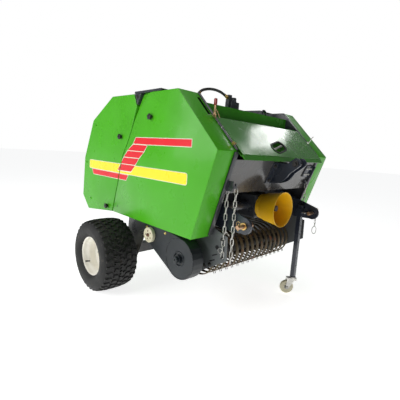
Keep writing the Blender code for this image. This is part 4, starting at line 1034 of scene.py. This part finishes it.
def link_details():
    """Fasteners of the top link bracket, and the twine guide's plate at the left."""
    y, z = TOP_LINK
    pin = bmesh.new()
    turned(pin, [(0, -0.0560), (0.0090, -0.0560), (0.0108, -0.0540), (0.0108, 0.0500), (0.0095, 0.0520),
                 (0, 0.0520)], "X", (0, y, z), 28)
    turned(pin, [(0.0108, -0.0350), (0.0175, -0.0350), (0.0185, -0.0362), (0.0185, -0.0392),
                 (0.0175, -0.0405), (0.0108, -0.0405)], "X", (0, y, z), 32, closed=True)
    piece("top_pin", pin, "dark_steel", replaces=["top_link_pin"])
    bolts = bmesh.new()
    for x in (-0.060, 0.060):
        for share in (0.16, 0.84):
            low, high = Vector((-0.5445, 0.767)), Vector((-0.5925, 0.887))
            at = low.lerp(high, share)
            stamp(bolts, BOLT, [facing((x, at.x - 0.0092, at.y), (0, -0.928, -0.373), x * 9)])
    piece("top_link_bolts", bolts, "dark_steel")
    guide = bmesh.new()
    foot, top = Vector((-0.5600, 0.8010)), Vector((-0.5900, 0.8760))
    along = (top - foot).normalized()
    out = Vector((-along.y, along.x))
    out = out if out.x < 0 else -out
    slab(guide, [tuple(foot + out * 0.0008), tuple(top + out * 0.0008), tuple(top + out * 0.0048),
                 tuple(foot + out * 0.0048)], "X", 0.3200, 0.4100, 0.0012)
    slab(guide, [tuple(foot + out * 0.0044), tuple(top + out * 0.0044), tuple(top + out * 0.0220),
                 tuple(foot + out * 0.0220)], "X", 0.4040, 0.4085, 0.0012)
    piece("guide_plate", guide, "bracket_enamel")
    screws = bmesh.new()
    for x in (0.336, 0.362, 0.388):
        for share in (0.25, 0.75):
            at = foot.lerp(top, share) + out * 0.0050
            stamp(screws, SMALL_BOLT, [facing((x, at.x, at.y), (0, out.x, out.y), x * 30)])
    piece("guide_bolts", screws, "zinc_plate")


def valve():
    """The valve on the roof: a round cap, its hexagons and the elbow that the hose starts from."""
    made = bmesh.new()
    turned(made, [(0, 1.2243), (0.0200, 1.2243), (0.0200, 1.2300), (0.0170, 1.2330), (0.0170, 1.2480),
                  (0.0140, 1.2520), (0, 1.2530)], "Z",
           (-0.0850, -0.2760, 0), 32)
    turned(made, [(0, 1.2243), (0.0085, 1.2243), (0.0085, 1.2370), (0.0070, 1.2390), (0, 1.2390)], "Z",
           (-0.1090, -0.2890, 0), 20)
    stamp(made, BOLT, [facing((-0.0600, -0.2880, 1.2040), (1, 0, 0)),
                       facing((-0.0598, -0.2640, 1.2040), (1, 0, 0), 0.5)])
    piece("valve_cap", made, "charcoal_enamel")
    nuts = bmesh.new()
    for x, radius in ((-0.1420, 0.0108), (-0.1490, 0.0088)):
        ring = bmesh.ops.create_circle(nuts, cap_ends=True, segments=6, radius=radius,
                                       matrix=facing((x, -0.2760, 1.2480), (-1, 0, 0), 0.3))
        face = [f for f in nuts.faces if all(v in f.verts for v in ring["verts"])][0]
        grown_up = bmesh.ops.extrude_face_region(nuts, geom=[face])["geom"]
        bmesh.ops.translate(nuts, verts=[g for g in grown_up if isinstance(g, bmesh.types.BMVert)],
                            vec=(-0.0055, 0, 0))
    piece("valve_nuts", nuts, "yellow_zinc")
    eye = bmesh.new()
    ring = [(0.3350 + 0.0212 * math.cos(t), -0.2100, 1.2120 + 0.0212 * math.sin(t)) for t in angles(16)]
    sweep(eye, ring, 0.0085, 12, closed=True)
    piece("lifting_ring", eye, "charcoal_enamel")


def jack_details():
    """The jack's clamp screw, a row of holes in its post, and the caster's hub and nut."""
    x, y = JACK.x, JACK.y
    clamp = bmesh.new()
    turned(clamp, [(0, -0.6140), (0.0050, -0.6140), (0.0060, -0.6120), (0.0060, -0.5960), (0, -0.5960)],
           "Y", (x, 0, 0.5680), 20)
    sweep(clamp, [(x - 0.0200, -0.6110, 0.5680), (x + 0.0200, -0.6110, 0.5680)], 0.0028, 8)
    piece("jack_clamp", clamp, "zinc_plate")
    cap = bmesh.new()
    block(cap, (x - 0.0160, y - 0.0160, 0.6123), (x + 0.0160, y + 0.0160, 0.6170), 0.0020)
    piece("jack_cap", cap, "black_plastic", "jack_post")
    holes = bmesh.new()
    for step in range(6):
        z = 0.2000 + 0.055 * step
        low, high = y - 0.0145, y - 0.0140
        turned(holes, [(0, low), (0.0052, low), (0.0055, high), (0, high)], "Y", (x, 0, z), 20)
    piece("jack_holes", holes, "black_plastic", "jack_post")
    shoe = bmesh.new()
    turned(shoe, [(0.0150, 0.1123), (0.0200, 0.1123), (0.0210, 0.1140), (0.0210, 0.1180), (0.0200, 0.1196),
                  (0.0150, 0.1196)], "Z", (x, y, 0), 36, closed=True)
    piece("jack_bearing_ring", shoe, "zinc_plate", "jack_post")
    turn = Matrix.Translation((x, y, 0)) @ Matrix.Rotation(CASTER_TURN, 4, "Z")
    nuts = bmesh.new()
    stamp(nuts, SMALL_BOLT, [turn @ facing((side * 0.0213, 0.036, 0.045), (side, 0, 0)) for side in (-1, 1)])
    piece("caster_nuts", nuts, "zinc_plate", "jack_fork")
    hub = bmesh.new()
    for side in (-1, 1):
        profile = [(0.0060, 0.0121), (0.0145, 0.0121), (0.0155, 0.0130), (0.0155, 0.0140), (0.0060, 0.0145)]
        turned(hub, [(radius, side * place) for radius, place in profile], "X", (0, 0.036, 0.045), 32,
               closed=True)
    bmesh.ops.transform(hub, matrix=turn, verts=hub.verts)
    piece("caster_hub", hub, "grey_plastic", "jack_wheel")


def tail_details():
    """Bolts, reflectors and a blank plate on the tailgate, and the covers' small screws."""
    screws = bmesh.new()
    for x in (-0.38, -0.19, 0.0, 0.19, 0.38):
        for start, share in ((2, 0.06), (2, 0.94), (1, 0.06), (1, 0.94)):
            a, b = Vector(REAR[start]), Vector(REAR[start + 1])
            along = (b - a).normalized()
            out = Vector((along.y, -along.x))
            at = a.lerp(b, share) - out * 0.0008
            stamp(screws, SMALL_BOLT, [facing((x, at.x, at.y), (0, out.x, out.y), x * 7)])
    piece("tailgate_bolts", screws, "zinc_plate", "tailgate")
    lamps = bmesh.new()
    a, b = Vector(REAR[1]), Vector(REAR[2])
    along = (b - a).normalized()
    out = Vector((along.y, -along.x))
    for x in (-0.33, 0.33):
        at = a.lerp(b, 0.30) - out * 0.0006
        glass = bmesh.new()
        turned(glass, [(0, 0), (0.0300, 0), (0.0300, 0.0020), (0.0280, 0.0045), (0.0240, 0.0055),
                       (0, 0.0062)], "Z", (0, 0, 0), 40)
        stamp(lamps, pattern("reflector", glass),
              [facing((x, at.x - out.x * 0.002, at.y - out.y * 0.002), (0, out.x, out.y))])
    piece("rear_reflectors", lamps, "reflector_red", "tailgate")
    plate = bmesh.new()
    at = a.lerp(b, 0.62)
    lift = out * -0.0006
    slab(plate, [tuple(at - along * 0.040 + lift), tuple(at + along * 0.040 + lift),
                 tuple(at + along * 0.040 + lift + out * 0.0016),
                 tuple(at - along * 0.040 + lift + out * 0.0016)], "X", -0.055, 0.055, 0.0005)
    piece("blank_plate", plate, "zinc_plate", "tailgate")
    for word, side in SIDES.items():
        caps = bmesh.new()
        for y, z in ((0.6050, 0.5350), (0.6750, 0.7900), (0.5400, 1.0500)):
            stamp(caps, SMALL_BOLT, [facing((side * (COVER_X + 0.0001), y, z), (side, 0, 0), y * 8)])
        piece("tail_cover_screws_" + word, caps, "green_enamel", "tailgate")


# ---------------------------------------------------------------- drive line
def drive_line():
    """The guard, the splined shaft in it, and what shows of the gearbox."""
    back, mouth = -0.4953, -0.6405
    wall = 0.0028
    outer = [(0.0745, back), (0.0752, back - 0.016), (0.0772, back - 0.018), (0.0772, back - 0.021),
             (0.0756, back - 0.023),
             (0.0768, back - 0.038), (0.0810, back - 0.0405), (0.0850, back - 0.0420),
             (0.0885, back - 0.070), (0.0935, back - 0.100),
             (0.0985, mouth + 0.012), (0.1012, mouth + 0.005), (0.1022, mouth + 0.002), (0.1018, mouth)]
    inner = [(0.0990, mouth + 0.0008), (0.0955, mouth + 0.012), (0.0907, back - 0.100),
             (0.0857, back - 0.070), (0.0822, back - 0.0430),
             (0.0740, back - 0.0390), (0.0720, back - wall), (0.0460, back - wall), (0.0460, back)]
    maker = bmesh.new()
    turned(maker, outer + inner, "Y", (0, 0, PTO_Z), 72, closed=True)
    piece("shaft_guard", maker, "guard_plastic", replaces=["pto_guard"], sharp=40)
    screws = bmesh.new()
    for number in range(4):
        angle = math.pi / 4 + number * math.pi / 2
        stamp(screws, SMALL_BOLT, [facing((0.059 * math.cos(angle), back - wall - 0.0002,
                                           PTO_Z + 0.059 * math.sin(angle)), (0, -1, 0), angle)])
    piece("guard_bolts", screws, "zinc_plate")
    collar = bmesh.new()
    turned(collar, [(0.0215, -0.4990), (0.0420, -0.4990), (0.0435, -0.5010), (0.0435, -0.5100),
                    (0.0415, -0.5120), (0.0300, -0.5125), (0.0290, -0.5200),
                    (0.0215, -0.5200)], "Y", (0, 0, PTO_Z), 48, closed=True)
    piece("shaft_seal_housing", collar, "charcoal_enamel")
    shaft = bmesh.new()
    teeth = 6
    outline = []
    for tooth in range(teeth):
        middle = 2 * math.pi * tooth / teeth
        for radius, turn in ((0.0148, -0.30), (0.0175, -0.26), (0.0178, 0.0), (0.0175, 0.26), (0.0148, 0.30)):
            outline.append((radius * math.cos(middle + turn), radius * math.sin(middle + turn) + PTO_Z))
    slab(shaft, outline, "Y", -0.5950, -0.5760)
    slab(shaft, outline, "Y", -0.5680, -0.5290)
    turned(shaft, [(0, -0.5770), (0.0145, -0.5770), (0.0145, -0.5670), (0, -0.5670)], "Y", (0, 0, PTO_Z), 32)
    turned(shaft, [(0, -0.5300), (0.0205, -0.5300), (0.0210, -0.5280), (0.0210, -0.4992), (0, -0.4992)],
           "Y", (0, 0, PTO_Z), 32)
    turned(shaft, [(0, -0.5962), (0.0060, -0.5962), (0.0130, -0.5950), (0, -0.5940)], "Y", (0, 0, PTO_Z), 24)
    piece("splined_shaft", shaft, "dark_steel", "drive_shaft", ["pto_shaft"])
    ribs = bmesh.new()
    for sign in (-1, 1):
        for x in (-0.045, 0.0, 0.045):
            z = PTO_Z + sign * 0.0702
            low, high = sorted((z, z + sign * 0.007))
            block(ribs, (x - 0.003, -0.4800, low), (x + 0.003, -0.3700, high), 0.001)
    for number in range(8):
        angle = math.pi / 8 + number * math.pi / 4
        stamp(ribs, SMALL_BOLT, [facing((0.0605 * math.copysign(1, math.cos(angle)), -0.4952,
                                         PTO_Z + 0.056 * math.sin(angle)), (0, -1, 0), angle)])
    piece("gearbox_ribs", ribs, "charcoal_enamel")


# ---------------------------------------------------------------- pickup
BAND_COUNT, BAND_HALF, BAND_W, BAND_R = 16, 0.3890, 0.0240, 0.114
BAND_PITCH = (2 * BAND_HALF - BAND_W) / (BAND_COUNT - 1)


def bands():
    """Pressed strips round the reel, each with a raised middle, on a rear bar and a foot bar."""
    y0, z0 = PICKUP
    route = [(-0.1150, z0 + BAND_R + 0.004), (-0.1450, z0 + BAND_R + 0.004), (-0.200, z0 + BAND_R + 0.0025),
             (-0.270, z0 + BAND_R + 0.0010)]
    for step in range(19):
        angle = math.radians(90 + 10 * step)
        route.append((y0 + BAND_R * math.cos(angle), z0 + BAND_R * math.sin(angle)))
    route += [(-0.320, z0 - BAND_R), (-0.2610, z0 - BAND_R)]
    half, lift, thick = BAND_W / 2, 0.0030, 0.0022
    section = [(-half, -thick), (-half, 0), (-half * 0.55, 0), (-half * 0.35, lift), (half * 0.35, lift),
               (half * 0.55, 0), (half, 0), (half, -thick),
               (half * 0.5, -thick), (half * 0.3, lift - thick), (-half * 0.3, lift - thick),
               (-half * 0.5, -thick)]
    one = bmesh.new()
    rings = []
    for index, place in enumerate(route):
        before = Vector(route[max(0, index - 1)])
        after = Vector(route[min(len(route) - 1, index + 1)])
        way = (after - before).normalized()
        out = Vector((way.y, -way.x))
        out = out if out.dot(Vector(place) - Vector(PICKUP)) > 0 else -out
        rings.append([one.verts.new((u, place[0] + out.x * v, place[1] + out.y * v)) for u, v in section])
    for a, b in zip(rings, rings[1:]):
        for i in range(len(section)):
            one.faces.new((a[i - 1], a[i], b[i], b[i - 1]))
    for ring in (rings[0], rings[-1]):
        one.faces.new(ring)
    strip = pattern("band", one)
    maker = bmesh.new()
    places = [Matrix.Translation((-BAND_HALF + BAND_W / 2 + BAND_PITCH * n, 0, 0)) for n in range(BAND_COUNT)]
    stamp(maker, strip, places)
    top, low = z0 + BAND_R, z0 - BAND_R
    block(maker, (-0.3997, -0.1330, top - 0.040), (0.3997, -0.1190, top + 0.0015), 0.002)
    block(maker, (-0.3997, -0.2620, low - 0.010), (0.3997, -0.2490, low - 0.0005), 0.002)
    piece("pickup_bands", maker, "worn_band", replaces=["stripper_bands"], sharp=30)
    bolts = bmesh.new()
    for n in range(BAND_COUNT):
        x = -BAND_HALF + BAND_W / 2 + BAND_PITCH * n
        stamp(bolts, SMALL_BOLT, [facing((x, -0.1260, top + 0.0070), (0, 0, 1), 0.3 * n)])
    piece("band_bolts", bolts, "dark_steel")


def tine_pattern():
    """A sprung pair: two legs out, each with two turns round the bar."""
    maker = bmesh.new()
    wire, coil = 0.0021, 0.0095
    for side in (-1, 1):
        route = [(side * 0.003, 0, coil)]
        turns = 2
        for step in range(1, turns * 8 + 1):
            angle = 2 * math.pi * step / 8
            route.append((side * (0.003 + 0.0048 * step / 8), coil * math.sin(angle), coil * math.cos(angle)))
        last = route[-1]
        route += [(last[0] - side * 0.002, 0.004, 0.022), (side * 0.0065, 0.005, 0.048),
                  (side * 0.0065, 0.001, 0.076), (side * 0.0065, -0.004, 0.0860)]
        sweep(maker, route, wire, 6)
    return pattern("tine", maker)


def reel():
    """The reel: a shaft, end spiders, four tine bars and their sprung tines."""
    y0, z0 = PICKUP
    end = BAND_HALF - 0.006
    maker = bmesh.new()
    turned(maker, [(0, -0.3995), (0.0140, -0.3995), (0.0140, -end), (0.0165, -end), (0.0165, end),
                   (0.0140, end), (0.0140, 0.3995), (0, 0.3995)],
           "X", (0, y0, z0), 24)
    tines = bmesh.new()
    tine = tine_pattern()
    gap_middle = -BAND_HALF + BAND_W + (BAND_PITCH - BAND_W) / 2
    turned(maker, [(0.0160, -end + 0.014), (0.0470, -end + 0.014), (0.0480, -end + 0.015),
                   (0.0480, end - 0.015), (0.0470, end - 0.014), (0.0160, end - 0.014)],
           "X", (0, y0, z0), 40, closed=True)
    for x in (-end + 0.006, -0.13, 0.13, end - 0.006):
        turned(maker, [(0.0150, x - 0.002), (0.0500, x - 0.002), (0.0500, x + 0.002), (0.0150, x + 0.002)],
               "X", (0, y0, z0), 28, closed=True)
    for bar in range(4):
        angle = math.radians(38 + 90 * bar)
        way = Vector((0, -math.sin(angle), math.cos(angle)))
        centre = Vector((0, y0, z0)) + way * 0.0500
        turned(maker, [(0, -end + 0.002), (0.0065, -end + 0.002), (0.0065, end - 0.002), (0, end - 0.002)],
               "X", centre, 14)
        for number in range(BAND_COUNT - 1):
            at = Matrix((X, way.cross(X), way)).transposed().to_4x4()
            at.translation = Vector((gap_middle + BAND_PITCH * number, centre.y, centre.z))
            stamp(tines, tine, [at])
    piece("reel_shaft", maker, "dark_steel", "reel", ["pickup_reel"])
    piece("spring_tines", tines, "tine_steel", "reel")


def ring_outline(centre, radius, count=40):
    """Points of a circle in a side view."""
    return [(centre[0] + radius * math.cos(2 * math.pi * i / count),
             centre[1] + radius * math.sin(2 * math.pi * i / count)) for i in range(count)]


def drive_case():
    """What stands on the drive case: the turned recess, hub cap, bolts and a thick rim."""
    y0, z0 = PICKUP
    x = -0.5300
    maker = bmesh.new()
    turned(maker, [(0.0352, x + 0.010), (0.0352, x - 0.0026), (0.0372, x - 0.0040), (0.0402, x - 0.0040),
                   (0.0422, x - 0.0026), (0.0432, x - 0.0002), (0.0432, x + 0.001),
                   (0.0385, x + 0.001), (0.0385, x + 0.010)], "X", (0, y0, z0), 56, closed=True)
    turned(maker, [(0.1060, x - 0.0001), (0.1075, x - 0.0018), (0.1105, x - 0.0018), (0.1118, x - 0.0001)],
           "X", (0, y0, z0), 72, closed=True)
    piece("case_rims", maker, "drive_enamel", sharp=40)
    hub = bmesh.new()
    turned(hub, [(0, x - 0.0300), (0.0130, x - 0.0300), (0.0165, x - 0.0285), (0.0175, x - 0.0260),
                 (0.0175, x - 0.0120), (0.0235, x - 0.0105), (0.0240, x - 0.0080),
                 (0.0240, x + 0.0040), (0, x + 0.0040)], "X", (0, y0, z0), 40)
    stamp(hub, SMALL_BOLT, [facing((x - 0.0301, y0, z0), (-1, 0, 0))])
    piece("case_hub_cap", hub, "drive_enamel")
    bolts = bmesh.new()
    for y, z in ((-0.2380, 0.4640), (-0.0650, 0.4640)):
        stamp(bolts, SMALL_BOLT, [facing((x - 0.0002, y, z), (-1, 0, 0), y * 9)])
    piece("case_bolts", bolts, "brass")
    idler = bmesh.new()
    idler_y, idler_z = IDLER
    turned(idler, [(0, -0.5515), (0.0120, -0.5515), (0.0130, -0.5500), (0.0340, -0.5500), (0.0360, -0.5520),
                   (0.0415, -0.5520), (0.0438, -0.5498), (0.0438, -0.5325),
                   (0.0420, -0.5305), (0, -0.5305)], "X", (0, idler_y, idler_z), 48)
    piece("idler_wheel", idler, "nylon", replaces=["idler_disc"])
    centre = bmesh.new()
    stamp(centre, BOLT, [facing((-0.5517, idler_y, idler_z), (-1, 0, 0), 0.5)])
    for turn in range(5):
        angle = 2 * math.pi * turn / 5
        turned(centre, [(0, -0.5506), (0.0045, -0.5506), (0.0045, -0.5499), (0, -0.5499)], "X",
               (0, idler_y + 0.024 * math.cos(angle), idler_z + 0.024 * math.sin(angle)), 14)
    piece("idler_bolt", centre, "rusty_steel")


def pickup_sides():
    """A round hole, slots, a clip ring, bolts and a hanger boss on the pickup's side plates."""
    for word, side in SIDES.items():
        x = side * 0.4042
        marks = bmesh.new()
        low, high = sorted((x, x + side * 0.0005))
        slab(marks, ring_outline((-0.5130, 0.4350), 0.0120, 24), "X", low, high)
        for y, z in ((-0.5000, 0.3900), (-0.4850, 0.3550)):
            slab(marks, rounded([(y - 0.020, z + 0.007), (y - 0.017, z + 0.013), (y + 0.020, z - 0.005),
                                 (y + 0.017, z - 0.011)], 0.004), "X", low, high)
        piece("pickup_plate_holes_" + word, marks, "black_plastic")
        clip = bmesh.new()
        ring = [(x + side * (0.004 + 0.004 * math.sin(t)), -0.5420 + 0.0170 * math.cos(t),
                 0.4240 + 0.0150 * math.sin(t)) for t in angles(10)]
        sweep(clip, ring, 0.0016, 6, closed=True)
        piece("pickup_clip_" + word, clip, "zinc_plate")
        bolts = bmesh.new()
        spots = [(-0.4700, 0.3300), (-0.5450, 0.4850), (-0.4300, 0.3120), (-0.2900, 0.5700)]
        stamp(bolts, BOLT, [facing((x, y, z), (side, 0, 0), y * 7) for y, z in spots])
        piece("pickup_bolts_" + word, bolts, "dark_steel")
        hanger = bmesh.new()
        turned(hanger, [(0.0155, side * 0.4045), (0.0280, side * 0.4045), (0.0280, side * 0.4085),
                        (0.0260, side * 0.4100), (0.0155, side * 0.4100)], "X", (0, -0.16, 0.55), 32,
                        closed=True)
        piece("hanger_boss_" + word, hanger, "charcoal_enamel")


# ---------------------------------------------------------------- run
camera()
studio()
dress_solids()
hose()
for side_word, side_sign in SIDES.items():
    tyre(side_word, side_sign)
    rim(side_word, side_sign)
stripes()
front_covers()
knobs_and_lugs()
edge_bars()
small_steel()
net_lever()
hood()
chains()
drive_line()
bands()
reel()
drive_case()
pickup_sides()
hitch_pins()
link_details()
valve()
jack_details()
tail_details()
